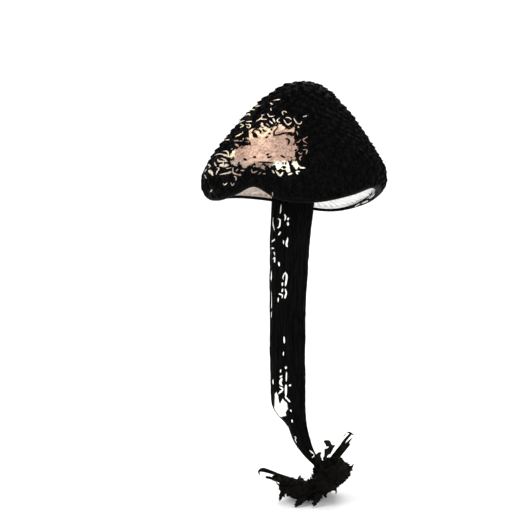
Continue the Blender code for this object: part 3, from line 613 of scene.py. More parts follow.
def make_cap_shag(material, pale_lines):
    """Black fibres that run down each tuft and curl off its tip."""
    draw = np.random.default_rng(SEED)
    tuft = np.repeat(np.arange(SCALE_COUNT), FIBRES_EACH)[:, None]
    size = TUFT_SIZE[tuft] / SCALE_RISE
    steps = np.linspace(0, 1, len(FIBRE_TAPER))
    step = draw.uniform(*FIBRE_LENGTHS, tuft.shape) * mix(0.45, 1.0, np.clip(size, 0, 1)) / (len(steps) - 1)
    slant, bend = (draw.normal(0, usual, tuft.shape) for usual in FIBRE_TURNS)
    start_along, start_across = (draw.uniform(*span, tuft.shape) for span in FIBRE_STARTS)
    turn = slant + bend * steps
    along = start_along + np.cumsum(np.cos(turn) * step, 1) - np.cos(turn[:, :1]) * step
    across = start_across + np.cumsum(np.sin(turn) * step, 1) - np.sin(turn[:, :1]) * step
    arcs = TUFT_ARC[tuft] + along
    azimuths = TUFT_AZIMUTH[tuft] + across / np.maximum(np.interp(arcs, ARC, SKIN[:, 0]), 1.0)
    kept = (arcs.min(1) > 0.4) & (arcs.max(1) < ARC[-1] - 1.6)
    flick = draw.uniform(*FLICK, tuft.shape)[kept] * np.clip(size[kept], 0.2, 1.2)
    arcs, azimuths = arcs[kept], azimuths[kept]
    level = np.interp(arcs.mean(1, keepdims=True), ARC, SKIN[:, 1])
    flick = flick * mix(0.2, 1.0, ease(level, *FLICK_LEVELS))
    paths, normals = cap_paths(arcs, azimuths, tuft_relief(arcs, azimuths) + 0.04 + flick * steps**2)
    middle = front_pixels(paths[:, len(steps) // 2])
    near = np.linalg.norm(middle[:, None] - pale_lines, axis=-1).min(1) < CLEAR_OF_PALE
    shown = ~((worn_highlight_depth(paths, WORN_HIGHLIGHT_CAP).max(1) > -0.6) | (near & (paths[:, 0, 1] < -0.5)))
    widths = draw.uniform(*FIBRE_WIDTHS, (shown.sum(), 1)) * FIBRE_TAPER
    add_strands("cap_shag", paths[shown], normals[shown], widths, 0.45, material)


STROKE_TAPER = np.array([0.5, 0.9, 1.0, 1.1, 1.0, 1.05, 0.9, 0.6, 0.2])


def resample(line, count):
    """Evenly spaced points on a smooth curve through a few."""
    fine = smooth_line(line, 10)
    length = np.concatenate([[0], np.cumsum(np.hypot(*np.diff(fine, axis=0).T))])
    at = np.linspace(0, length[-1], count)
    return np.stack([np.interp(at, length, values) for values in fine.T], -1)


def stroke_lines(strokes):
    return np.array([resample(pairs(flat), len(STROKE_TAPER)) for _, *flat in strokes])


def add_strokes(name, strokes, paths, normals, thickness, material, size=1.0):
    """Strands as wide as the strokes say, blunt at one end and thin at the other, by turns."""
    tapers = np.array([STROKE_TAPER[:: 1 if i % 2 else -1] for i in range(len(strokes))])
    widths = np.array([width for width, *_ in strokes])[:, None] * size * pixel_size(paths) * tapers
    add_strands(name, paths, normals, widths, thickness, material)


AIMS = 5
AIM_STEP = 0.8
GRAZING = (0.25, 0.55)  # how far the skin must face the camera for strokes to lie close to it
OVER_TUFTS = 0.95


def make_cap_strokes(name, strokes, material, lift, size):
    """Strokes that lie over the tufts and cover, as the camera sees them, the pixels they were traced at."""
    lines = stroke_lines(strokes)
    aim = lines.copy()
    facing = np.ones(len(lines))
    for _ in range(AIMS):
        arc, azimuth = on_cap(aim.reshape(-1, 2))
        arcs = arc.reshape(lines.shape[:2])
        azimuths = np.unwrap(azimuth.reshape(lines.shape[:2]), axis=1)
        lifts = tuft_relief(arcs, azimuths)
        lifts = np.maximum(lifts, lifts.mean(1, keepdims=True))
        lifts = mix(np.maximum(lifts, OVER_TUFTS), lifts, ease(facing, *GRAZING)[:, None]) + lift
        paths, normals = cap_paths(arcs, azimuths, lifts)
        facing = -(normals * unit(paths - np.array(EYE))).sum(-1).mean(1)
        aim += AIM_STEP * (lines - front_pixels(paths))
    add_strokes(name, strokes, paths, normals, 0.3, material, size)


LIP_FACE = 26.95  # mm, its radius where it faces inward
GILL_FACE = 26.1  # mm, a radius just inside the gills' outer ends


def make_lip_strokes(name, strokes, face, material):
    """Strokes at a radius inside the lip, on its far side, behind the pixels they were traced at."""
    lines = stroke_lines(strokes)
    azimuth = np.full(lines.shape[:2], 0.4)
    for _ in range(8):
        spots = along_sight(lines, -EYE[1] + face * np.sin(azimuth))
        reach = face + RIM_SPREAD * np.cos(azimuth) ** 2
        azimuth = np.arccos(np.clip((spots[..., 0] - CAP_CENTRE_X) / reach, -1, 0.999))
    paths = polar(face + RIM_SPREAD * np.cos(azimuth) ** 2, azimuth, spots[..., 2])
    paths[..., 0] += CAP_CENTRE_X
    add_strokes(name, strokes, paths, -polar(1.0, azimuth, 0.0), 0.3, material)


EDGE_CURLS = 70  # small black curls that are tried along the edge of the worn place
EDGE_DEPTHS = (-0.4, 2.2)  # how far inside the edge they may lie, in pixels


def edge_curls():
    """Short black curls scattered along the edge of the worn place and its painted highlight, as strokes."""
    draw = np.random.default_rng(SEED + 5)
    curls = []
    outline = WORN_HIGHLIGHT_CAP[0]
    ahead = np.roll(outline, -1, axis=0)
    for _ in range(EDGE_CURLS):
        side = draw.integers(len(outline))
        spot = outline[side] + (ahead[side] - outline[side]) * draw.uniform() + draw.normal(0, 1.1, 2)
        depth = inside_depth(spot[None], WORN_HIGHLIGHT_CAP)[0]
        turn, bend, size = draw.uniform(0, TURN), draw.uniform(-1.3, 1.3), draw.uniform(0.8, 1.7)
        if EDGE_DEPTHS[0] < depth < EDGE_DEPTHS[1]:
            ways = ((-1, turn - bend), (1, turn + bend))
            start, end = (spot + size * sign * np.array([math.cos(a), math.sin(a)]) for sign, a in ways)
            curls.append((draw.uniform(0.9, 1.5), *start, *spot, *end))
    return tuple(curls)


GILL_SAMPLES = 5  # columns for each of the gills' 144
GILL_STEPS = 26
GILL_SIDES = (0.12, 0.5)  # where a gill's side starts and ends, in gill spacings from its middle
GILL_WAVE = 0.12
INNER_DROPS = (0.6, 4.0, 9.0)  # mm under the roof of the rings on the gills' inner side


def make_gills(material):
    """Thin plates under the flesh, long, short and shortest by turns, with wavy free edges."""
    columns = GILL_COLUMNS * GILL_SAMPLES
    place = np.arange(columns) / GILL_SAMPLES
    flesh = np.array(CAP_FLESH[1:])
    ahead = unit(np.gradient(flesh, axis=0))
    roof = flesh + FIT_GAP * np.stack([-ahead[:, 1], ahead[:, 0]], 1)
    roof = roof[roof[:, 0] > GILL_INNER]

    def plate(spacing, offset):
        gap = np.abs((place - offset + spacing / 2) % spacing - spacing / 2)
        return 1 - ease(gap, *GILL_SIDES)

    long_gills, short_gills, third_gills = plate(4, 0), plate(4, 2), plate(2, 1)
    rings = [(GILL_INNER, roof[-1][1] - drop) for drop in INNER_DROPS]
    for radius in np.linspace(GILL_INNER, GILL_OUTER, GILL_STEPS):
        grown = np.maximum(long_gills, short_gills * ease(radius, *SHORT_GILL_ENDS))
        grown = np.maximum(grown, third_gills * ease(radius, *THIRD_GILL_ENDS) * 0.9)
        inward = np.clip((GILL_OUTER - radius) / (GILL_OUTER - GILL_INNER), 0, 1)
        floor = mix(*GILL_EDGE, inward) + (1 - grown) * mix(*GILL_DEPTH, inward)
        floor = floor + GILL_WAVE * np.sin(place * 2.3 + radius * 0.9) * grown
        ceiling = float(np.interp(radius, roof[::-1, 0], roof[::-1, 1])) - 0.3
        rings.append((radius, np.minimum(floor, ceiling)))
    rings += roof.tolist()
    points = np.array([polar(radius, circle(columns), level) for radius, level in rings])
    faces = grid_faces(len(rings), columns, closed_rows=True)
    add_piece("gill_plates", place_in_cap(points), faces, material, ("gills",))


STEM = smooth_line(STEM_LINE, 14)[::-1]
STEM_SIDES = 176
STEM_RINGS = 230
STEM_TOP_DRAWN_IN = 1.4
RIDGES = (22, 0.132)  # how many run down the stem, and their depth
BROAD_WAVES = 0.3
FIBRE_FULL_RADIUS = 6.0


def stem_centre(height):
    return np.interp(height, STEM[:, 0], STEM[:, 1])


def stem_radius(height):
    return np.interp(height, STEM[:, 0], STEM[:, 2])


def stem_relief(azimuth, height):
    """Height of the stem's fibres over its round section."""

    def waves(across, along, seed=0.0):
        return ripple(polar(across, azimuth, height * along), 1.0, seed)

    ridges = np.cos(azimuth * RIDGES[0] + 2.4 * waves(1, 0.03, 7.3))
    relief = BROAD_WAVES * waves(2.2, 0.022) + RIDGES[1] * ridges
    relief = relief + 0.16 * waves(9, 0.12, 3.1) + 0.12 * waves(24, 0.2, 5.7)
    return np.minimum(1, stem_radius(height) / FIBRE_FULL_RADIUS) * relief


def stem_at(azimuth, height, lift=0.0):
    points = polar(stem_radius(height) + lift, azimuth, height)
    points[..., 0] += stem_centre(height)
    return points


def make_stem(material):
    spread = np.linspace(0, 1, STEM_RINGS)
    heights = np.interp(spread, np.linspace(0, 1, len(STEM)), STEM[::-1, 0])
    azimuth, height = np.meshgrid(circle(STEM_SIDES), heights)
    lift = stem_relief(azimuth, height)
    lift[0] -= STEM_TOP_DRAWN_IN
    points = stem_at(azimuth, height, lift).reshape(-1, 3)
    count = len(points)
    ends = [[stem_centre(z), 0, z] for z in heights[[0, -1]]]
    last = list(range(count - STEM_SIDES, count))
    faces = [face[::-1] for face in grid_faces(STEM_RINGS, STEM_SIDES)]
    faces += fan(list(range(STEM_SIDES)), count) + fan(last[::-1], count + 1)
    points = np.vstack([points, ends])
    add_piece("stem_skin", points, faces, material, ("stem",), worn_highlight_depth(points, WORN_HIGHLIGHT_STEM))


STEM_DEPTHS = np.arange(310.0, 322.0, 0.05)


def on_stem(pixels):
    """The azimuth and height of what pixels of the front view show of the stem."""

    def outside(points):
        x, y, z = np.moveaxis(points, -1, 0)
        return np.hypot(x - stem_centre(z), y) - stem_radius(z)

    x, y, z = first_inside(pixels, STEM_DEPTHS, outside).T
    return np.arctan2(y, x - stem_centre(z)), z


def stem_paths(azimuth, height, lift):
    low = stem_at(azimuth, height, lift)
    return low, unit(stem_at(azimuth, height, lift + 0.2) - low)


def make_stem_highlight_strokes(material):
    # Pale strokes down the stem: painted highlights on its lit left front.
    lines = stroke_lines(STEM_HIGHLIGHT_CURLS)
    azimuth, height = (found.reshape(lines.shape[:2]) for found in on_stem(lines.reshape(-1, 2)))
    azimuth = np.unwrap(azimuth, axis=1)
    paths, normals = stem_paths(azimuth, height, stem_relief(azimuth, height) + 0.03)
    add_strokes("stem_pale_highlight_fibres", STEM_HIGHLIGHT_CURLS, paths, normals, 0.2, material)


STEM_HAIRS = 1100
HAIR_TAPER = (0.4, 1, 1, 0.9, 0.6, 0.15)
HAIR_TOPS = (24, 122)
HAIR_LENGTHS = (3.5, 11)
HAIR_WIDTHS = (0.14, 0.32)
LOWEST_HAIR = 19.0
CLEAR_OF_STROKES = 1.6  # pixels


def make_stem_hairs(material):
    """Loose black fibres that lie along the stem, some of them lifted at an end."""
    draw = np.random.default_rng(SEED + 1)
    each = (STEM_HAIRS, 1)
    steps = np.linspace(0, 1, len(HAIR_TAPER))
    azimuth = draw.uniform(0, TURN, each)
    top, length = draw.uniform(*HAIR_TOPS, each), draw.uniform(*HAIR_LENGTHS, each)
    drift, bend = draw.normal(0, 0.06, each), draw.normal(0, 0.07, each)
    height = np.maximum(top - length * steps, LOWEST_HAIR)
    turn = azimuth + drift * steps + bend * np.sin(steps * math.pi)
    loose = draw.uniform(0.0, 0.5, each) ** 2
    paths, normals = stem_paths(turn, height, stem_relief(turn, height) + 0.02 + loose * steps**3)
    lines = stroke_lines(STEM_HIGHLIGHT_CURLS).reshape(-1, 2)
    gaps = np.linalg.norm(front_pixels(paths).reshape(-1, 1, 2) - lines, axis=-1).min(1)
    near = gaps.reshape(len(paths), -1).min(1) < CLEAR_OF_STROKES
    kept = ~((worn_highlight_depth(paths, WORN_HIGHLIGHT_STEM).max(1) > -0.5) | (near & (paths[:, 0, 1] < 0)))
    widths = draw.uniform(*HAIR_WIDTHS, (kept.sum(), 1)) * HAIR_TAPER
    add_strands("stem_hairs", paths[kept], normals[kept], widths, 0.4, material)


# Frayed points of the stem's foot: base, tip and width, as in the part's source, then how many strands.
ROOTLETS = (
    ((2.0, -1.0, 22.5), (1.1, -1.4, 18.8), 1.3, 3),
    ((3.6, -1.2, 19.8), (3.9, -1.8, 16.1), 1.5, 4),
    ((5.4, -0.8, 18.2), (6.1, -1.2, 15.4), 1.3, 4),
    ((2.6, 1.2, 21.5), (1.6, 3.2, 17.6), 1.3, 3),
    ((4.6, 1.4, 18.6), (4.4, 3.2, 15.4), 1.3, 3),
)
ROOT_TAPER = np.array([0.7, 1.0, 1.05, 0.95, 0.8, 0.6, 0.4, 0.12])


def make_root_strands(material):
    """The frayed points that hang off the stem's foot, each a bundle of tapering strands."""
    draw = np.random.default_rng(SEED + 4)
    steps = np.linspace(0, 1, len(ROOT_TAPER))[:, None]
    paths, widths = [], []
    for base, tip, width, count in ROOTLETS:
        base, tip = np.array(base), np.array(tip)
        for number in range(count):
            side = (number + 0.5) / count - 0.5
            reach = 1 - 0.22 * abs(side) * 2 - draw.uniform(0, 0.12)
            start = base + np.array([side * width * 0.9, draw.uniform(-0.2, 0.2), 0.5])
            bend = np.array([side * 0.5 + draw.uniform(-0.15, 0.15), draw.uniform(-0.2, 0.2), 0])
            line = start + steps * (tip - base) * reach + np.sin(steps * math.pi) * bend
            paths.append(line - steps * np.array([side * width * 0.55, 0, 0]))
            widths.append(width * 0.55 * ROOT_TAPER)
    paths = np.array(paths)
    normals = np.broadcast_to([0.0, -1.0, 0.0], paths.shape)
    add_strands("root_strands", paths, normals, np.array(widths), 0.6, material)


class Paint:
    """A material and short ways to add its nodes."""

    def __init__(self, name, roughness, specular):
        self.material = bpy.data.materials.new(name)
        self.material.use_nodes = True
        self.tree = self.material.node_tree
        self.shader = self.tree.nodes["Principled BSDF"].inputs
        self.shader["Roughness"].default_value = roughness
        self.shader["Specular IOR Level"].default_value = specular
        self.where = self.node("TexCoord", {}, "Object")

    def put(self, socket, value):
        if isinstance(value, bpy.types.NodeSocket):
            self.tree.links.new(value, socket)
        else:
            socket.default_value = value

    def node(self, kind, inputs, output=0, **settings):
        """An output of a new node with given settings and inputs."""
        made = self.tree.nodes.new("ShaderNode" + kind)
        for name, value in settings.items():
            setattr(made, name, value)
        for socket, value in inputs.items():
            self.put(made.inputs[socket], value)
        return made.outputs[output]

    def math(self, operation, *values):
        return self.node("Math", dict(enumerate(values)), operation=operation)

    def stretched(self, scale):
        return self.node("Mapping", {"Vector": self.where, "Scale": scale})

    def noise(self, scale, detail=3.0, roughness=0.55, vector=None, distortion=0.0):
        inputs = {"Vector": vector or self.where, "Scale": scale, "Detail": detail}
        return self.node("TexNoise", {**inputs, "Roughness": roughness, "Distortion": distortion}, "Fac")

    def wobble(self, size, *values):
        """Noise about 0."""
        return self.math("MULTIPLY", self.math("SUBTRACT", self.noise(*values), 0.5), size)

    def ramp(self, value, *stops):
        """stops are (position, colour) pairs."""
        colour = self.node("ValToRGB", {"Fac": value}, "Color")
        elements = colour.node.color_ramp.elements
        while len(elements) < len(stops):
            elements.new(0.5)
        for element, (position, tint) in zip(elements, stops):
            element.position = position
            element.color = (*tint, 1.0)
        return colour

    def range(self, value, low, high, to_low=0.0, to_high=1.0):
        values = (value, low, high, to_low, to_high)
        return self.node("MapRange", dict(enumerate(values)), interpolation_type="SMOOTHSTEP")

    def blend(self, share, a, b, kind="MIX"):
        a, b = (side if isinstance(side, bpy.types.NodeSocket) else (*side, 1.0) for side in (a, b))
        return self.node("Mix", {0: share, 6: a, 7: b}, 2, data_type="RGBA", blend_type=kind)

    def axes(self):
        return self.node("SeparateXYZ", {0: self.where}).node.outputs

    def worn_highlight_mask(self, *edge):
        """1 in the worn place, which is painted as a highlight, and 0 elsewhere, with a ragged edge."""
        worn_highlight = self.node("Attribute", {}, "Fac", attribute_name="worn_highlight")
        return self.range(self.math("ADD", worn_highlight, self.wobble(*edge)), -0.25, 0.25)

    def bump(self, height, strength, distance):
        inputs = {"Strength": strength, "Distance": distance, "Height": height}
        self.put(self.shader["Normal"], self.node("Bump", inputs))

    def finish(self, colour, roughness=None):
        self.put(self.shader["Base Color"], colour)
        if roughness is not None:
            self.put(self.shader["Roughness"], roughness)
        return self.material


BLACK = (0.0008, 0.0007, 0.0007)
SOOT = (0.0034, 0.0030, 0.0029)
# CREAM to MAUVE are the colours of the cap's worn place, painted as a highlight on its lit front left.
CREAM = (0.77, 0.56, 0.38)
PINK = (0.45, 0.30, 0.228)
ROSE = (0.31, 0.205, 0.160)
CHALK = (0.78, 0.75, 0.60)
ASH = (0.20, 0.155, 0.125)
GREIGE = (0.28, 0.22, 0.185)
PALE_TIP = (0.80, 0.66, 0.54)
STRAW_TINT = (0.84, 0.76, 0.54)
PUTTY = (0.59, 0.51, 0.41)
BUTTER = (0.74, 0.66, 0.44)
MAUVE = (0.31, 0.19, 0.155)
DRY_DARK = (0.0014, 0.0012, 0.0010)
DRY_LIGHT = (0.0085, 0.0068, 0.0045)


def spot(paint, x, z, core, reach):
    """1 round a place on the front and 0 from a distance on, with a ragged edge."""
    axes = paint.axes()
    away = [paint.math("SUBTRACT", axes[0], x), paint.math("SUBTRACT", axes[2], z)]
    distance = paint.math("SQRT", paint.math("ADD", *(paint.math("MULTIPLY", side, side) for side in away)))
    return paint.range(paint.math("ADD", distance, paint.wobble(0.0025, 700.0)), core, reach, 1.0, 0.0)


def worn_highlight_colour(paint):
    """The worn place, painted as a highlight where the pale ground shows: cream above, pinkish beige below it
    and dull rose to either side, then a low band that is greyish to the left, dark in the middle and chalky
    to the right, all finely mottled. Places are in metres."""
    x, _, z = paint.axes()
    drift = paint.wobble(0.012, 260.0, 2.0)
    height = paint.math("ADD", z, drift)
    across = paint.math("ADD", x, drift)

    above = paint.range

    def below(value, low, high, least=0.0):
        return paint.range(value, low, high, 1.0, least)

    def both(a, b):
        return paint.math("MULTIPLY", a, b)

    left_end = below(across, -0.0175, -0.0135)
    outer = below(x, -0.0215, -0.0200)
    creamy = both(above(height, 0.1190, 0.1235), below(x, -0.0074, -0.0048, 0.4))
    right = both(above(across, -0.0100, -0.0045), below(height, 0.1215, 0.1250))
    left = both(left_end, below(height, 0.1190, 0.1225))
    left_band = both(below(z, 0.1135, 0.1152), left_end)
    tips = paint.blend(below(x, -0.0145, -0.0110), PALE_TIP, STRAW_TINT)
    low = paint.blend(above(x, -0.0150, -0.0125), GREIGE, ASH)
    low = paint.blend(above(x, -0.0070, -0.0050), low, CHALK)
    low = paint.blend(outer, low, PUTTY)
    base = PINK
    for share, colour in (
        (creamy, CREAM),
        (paint.math("MAXIMUM", left, right), ROSE),
        (outer, PUTTY),
        (spot(paint, -0.0172, 0.1163, 0.0010, 0.0028), MAUVE),
        (spot(paint, -0.0202, 0.1167, 0.0009, 0.0022), BUTTER),
        (above(z, 0.1240, 0.1262), tips),
        (paint.math("MAXIMUM", below(z, 0.1118, 0.1134), left_band), low),
    ):
        base = paint.blend(share, base, colour)
    speckle = paint.noise(1150.0, 3.0, 0.65, distortion=0.6)
    mottled = paint.ramp(speckle, (0.38, (0.56, 0.52, 0.52)), (0.5, (1, 1, 1)), (0.62, (1.38, 1.36, 1.34)))
    return paint.blend(0.9, base, mottled, "MULTIPLY")


def black_colour(paint, scale=900.0):
    return paint.blend(paint.range(paint.noise(scale, 4.0), 0.40, 0.72), BLACK, SOOT)


def cap_material():
    paint = Paint("cap_black_worn_highlight", 0.66, 0.02)
    # Black skin, pale in the worn place as a painted highlight on the lit front left.
    mask = paint.worn_highlight_mask(4.5, 1000.0, 3.0, 0.6)
    paint.bump(paint.noise(2600.0, 4.0, 0.6), 0.5, 0.00012)
    colour = paint.blend(mask, black_colour(paint), worn_highlight_colour(paint))
    return paint.finish(colour, paint.range(mask, 0, 1, 0.62, 0.86))


def shag_material():
    paint = Paint("cap_black_fibre", 0.6, 0.02)
    paint.bump(paint.noise(3600.0), 0.35, 0.00008)
    rough = paint.range(paint.noise(700.0, 2.0), 0.3, 0.7, 0.48, 0.72)
    return paint.finish(black_colour(paint, 1300.0), rough)


def worn_highlight_fibre_material():
    # Pale fibres of the worn place, in the colours of its painted highlight.
    paint = Paint("cap_worn_highlight_fibre", 0.8, 0.2)
    paint.bump(paint.noise(3200.0), 0.4, 0.00008)
    return paint.finish(worn_highlight_colour(paint))


def stem_material():
    paint = Paint("stem_black_worn_highlight", 0.62, 0.02)
    streaks = paint.stretched((1.0, 1.0, 0.06))
    grain = paint.noise(1900.0, 4.0, 0.6, streaks)
    dark = paint.blend(paint.range(grain, 0.4, 0.7), BLACK, SOOT)
    # Pale in the worn place at the foot: pale like mycelium and a painted highlight on the lit left side.
    pale = paint.blend(paint.range(grain, 0.35, 0.62), (0.66, 0.60, 0.50), (0.90, 0.89, 0.86))
    colour = paint.blend(paint.worn_highlight_mask(2.6, 1500.0, 3.0, 0.6, streaks), dark, pale)
    paint.bump(grain, 0.55, 0.00015)
    return paint.finish(colour, paint.range(grain, 0.3, 0.7, 0.5, 0.74))


def grain_material(name, roughness, specular, scale, stretch, bump, span, dark, light):
    """Fibres: noise drawn out along an axis gives the bumps and mixes two colours over a span of it."""
    paint = Paint(name, roughness, specular)
    grain = paint.noise(scale, 3.0, 0.6, paint.stretched(stretch))
    paint.bump(grain, *bump)
    return paint.finish(paint.blend(paint.range(grain, *span), dark, light))


def clump_material(name, roughness, clumps, stops, grit, bump):
    """Clumps of noise in a few colours, with bumps of finer noise."""
    paint = Paint(name, roughness, 0.05)
    paint.bump(paint.noise(*grit), *bump)
    return paint.finish(paint.ramp(paint.noise(*clumps), *stops))


def gill_material():
    """Pale gills, whiter to the right, with fine streaks that run out from the stem."""
    paint = Paint("gill_pale", 0.75, 0.25)
    x, y, _ = paint.axes()
    squares = (paint.math("MULTIPLY", side, side) for side in (x, y))
    radius = paint.math("SQRT", paint.math("ADD", *squares))
    turn = paint.math("MULTIPLY", paint.math("ARCTAN2", y, x), 60.0)
    fans = paint.node("CombineXYZ", {0: turn, 1: paint.math("MULTIPLY", radius, 120.0)})
    streak = paint.noise(1.6, 3.0, 0.6, fans)
    share = paint.range(streak, 0.35, 0.65)
    left = paint.blend(share, (0.55, 0.46, 0.40), (0.82, 0.72, 0.65))
    right = paint.blend(share, (0.93, 0.93, 0.92), (0.98, 0.98, 0.97))
    paint.bump(streak, 0.3, 0.0001)
    return paint.finish(paint.blend(paint.range(x, -0.008, 0.008), left, right))


CLOD_VOXEL = 0.33 * MM
CRUMB_DEPTH = 0.28
LEAF_STALKS = ((11.8, -3.0), (9.6, -3.2))  # where the source's dead leaves stand, which finer pieces cover
LEAF_REACH = 3.6
LEAF_SHRINK = (14.4, 16.0)  # heights between which they shrink
LEAF_KEPT = (0.25, 0.25)  # shares of their breadth and height that are kept
# Where the top of the clod dips left of the root, in pixels of the front view: columns and rows.
CLOD_DIP = (
    (288, 291.3, 297, 302, 304.5, 307, 309.5, 312.5, 314.5),
    (481.5, 482.7, 481.5, 479.5, 484, 482, 481, 482.3, 482.5),
)
DIP_ENDS = ((288, 291), (312.6, 314.2))  # columns over which it starts and ends
DIP_SHARE = 0.75


def make_clod(material):
    """The clod at a finer grain: its own shape, rounded by a voxel remesh and roughened by noise."""
    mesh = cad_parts["soil_clod"].data.copy()
    mesh.materials.clear()
    work = bmesh.new()
    work.from_mesh(mesh)
    bmesh.ops.remove_doubles(work, verts=work.verts, dist=1e-7)
    work.to_mesh(mesh)
    work.free()
    source = show("clod_source", mesh)
    remesh = source.modifiers.new("grain", "REMESH")
    remesh.mode = "VOXEL"
    remesh.voxel_size = CLOD_VOXEL
    smooth = source.modifiers.new("soften", "SMOOTH")
    smooth.factor = 0.4
    smooth.iterations = 1
    graph = bpy.context.evaluated_depsgraph_get()
    made = bpy.data.meshes.new_from_object(source.evaluated_get(graph))
    bpy.data.objects.remove(source)
    points, normals = np.zeros(len(made.vertices) * 3), np.zeros(len(made.vertices) * 3, np.float32)
    made.vertices.foreach_get("co", points)
    made.vertices.foreach_get("normal", normals)
    points, normals = points.reshape(-1, 3) / MM, normals.reshape(-1, 3)
    depth = CRUMB_DEPTH * (ripple(points, 0.9) + 0.5 * ripple(points, 0.45, 4.0))
    depth *= ease(points[:, 2], 0.2, 1.2)
    points += normals * depth[:, None]
    points[:, 2] = np.maximum(points[:, 2], 0)
    for stalk in LEAF_STALKS:
        away = points[:, :2] - stalk
        near = ease(LEAF_REACH - np.hypot(*away.T), 0, 0.6) * ease(points[:, 2], *LEAF_SHRINK)
        points[:, :2] = mix(points[:, :2], stalk + away * LEAF_KEPT[0], near[:, None])
        points[:, 2] -= near * (1 - LEAF_KEPT[1]) * (points[:, 2] - LEAF_SHRINK[0])
    column, row = front_pixels(points).T
    above = np.maximum(np.interp(column, *CLOD_DIP) - row, 0)
    above *= ease(column, *DIP_ENDS[0]) * (1 - ease(column, *DIP_ENDS[1]))
    points[:, 2] -= DIP_SHARE * above * pixel_size(points)
    made.vertices.foreach_set("co", (points * MM).ravel())
    add_mesh("clod_earth", made, material, ("soil_clod",))
    return points, normals


LEAF_STATIONS = ((0.0, 0.45), (0.2, 0.85), (0.45, 1.0), (0.7, 0.7), (0.9, 0.3), (1.0, 0.04))
LEAF_FOLD = 0.35  # how far a leaf's sides rise, as a share of half its width
VEIN = (0.07, 0.09)  # mm from its axis to the vein above and below
LEAF_FACES = [(b, a, d, c) for a, b, c, d in grid_faces(len(LEAF_STATIONS), 4)]
LEAF_FACES += [(0, 1, 2, 3), tuple(4 * len(LEAF_STATIONS) - i for i in (1, 2, 3, 4))]


def leaf_points(base, heading, over, length, width, curl):
    """A thin, folded, pointed leaf: four points for each station."""
    side = np.cross(heading, over)
    points = []
    place = np.array(base, float)
    last = 0.0
    for share, broad in LEAF_STATIONS:
        c, s = math.cos(curl * share), math.sin(curl * share)
        place = place + (heading * c + over * s) * (share - last) * length
        last = share
        up = over * c - heading * s
        aside, fold = side * (width / 2 * broad), up * (width / 2 * broad) * LEAF_FOLD
        points += [place + aside + fold, place + up * VEIN[0], place - aside + fold, place - up * VEIN[1]]
    return points


# Leaves of moss: how many, then the ranges of their tilt and length, first all over and then at the back.
MOSS_LEAVES = ((430, (0.0, 0.3), (0.9, 1.8)), (330, (0.25, 0.7), (1.3, 2.4)))
MOSS_WIDTHS = (0.5, 0.95)
MOSS_CURLS = (-0.9, 0.5)
BARE_SIDE = (9.0, 15.0)  # mm to the right over which the leaves that point right grow short
CRUMBS = (420, 260)  # all over and at the back
CRUMB_SIZES = (0.2, 0.5)
BACK = 3  # mm, where the back of the clod starts


def clear_of_root(spots):
    """True for spots on the clod that aren't beside the root where it goes in."""
    gap = np.hypot(spots[:, 0] - stem_centre(spots[:, 2]), spots[:, 1]) - stem_radius(spots[:, 2])
    return (gap > 0.9) | (spots[:, 2] < STEM_LINE[-1][0] - 1)


def make_moss(material, spots, normals):
    """Small leaves of moss all over the clod, tips outward and a little up."""
    draw = np.random.default_rng(SEED + 2)
    usable = (spots[:, 2] > 1.6) & clear_of_root(spots)
    behind = usable & (spots[:, 1] > BACK) & (normals[:, 1] > 0.15)
    points, faces, chosen = [], [], []
    for (count, tilt, reach), places in zip(MOSS_LEAVES, (usable, behind)):
        found = draw.choice(np.flatnonzero(places), count, replace=False)
        chosen += [(number, tilt, reach) for number in found]
    for number, tilt, reach in chosen:
        normal = unit(normals[number].astype(float))
        tangent = np.cross(normal, unit(draw.normal(0, 1, 3)))
        heading = unit(unit(tangent) + normal * draw.uniform(*tilt))
        over = unit(normal - heading * heading.dot(normal))
        length = draw.uniform(*reach)
        base = spots[number] - normal * 0.25
        sideways = heading[0] * ease(base[0], *BARE_SIDE)
        length = length * mix(1.0, 0.4, np.clip(sideways * 1.6, 0, 1))
        if (base + heading * length)[2] >= 0.5:
            faces += shifted(LEAF_FACES, len(points))
            width, curl = draw.uniform(*MOSS_WIDTHS), draw.uniform(*MOSS_CURLS)
            points += leaf_points(base, heading, over, length, width, curl)
    add_piece("clod_moss", points, faces, material)


def make_crumbs(material, spots, normals):
    """Crumbs of earth: small rough pebbles that sit half sunk in the clod."""
    draw = np.random.default_rng(SEED + 3)
    pebble = bmesh.new()
    bmesh.ops.create_icosphere(pebble, subdivisions=1, radius=1.0)
    shape = np.array([v.co for v in pebble.verts])
    shape_faces = [[v.index for v in f.verts] for f in pebble.faces]
    pebble.free()
    usable = np.flatnonzero((spots[:, 2] > 0.9) & clear_of_root(spots))
    behind = usable[(spots[usable, 1] > BACK) & (normals[usable, 1] > 0)]
    chosen = [draw.choice(places, count, replace=False) for places, count in zip((usable, behind), CRUMBS)]
    points, faces = [], []
    for number in np.concatenate(chosen):
        radius = draw.uniform(*CRUMB_SIZES)
        rough = shape * (1 + draw.uniform(-0.22, 0.22, (len(shape), 1)))
        faces += shifted(shape_faces, len(points))
        middle = spots[number] + normals[number] * radius * 0.3
        points += list(middle + rough * radius * draw.uniform(0.7, 1.2, 3))
    points = np.array(points)
    points[:, 2] = np.maximum(points[:, 2], 0.05)
    add_piece("clod_crumbs", points, faces, material)


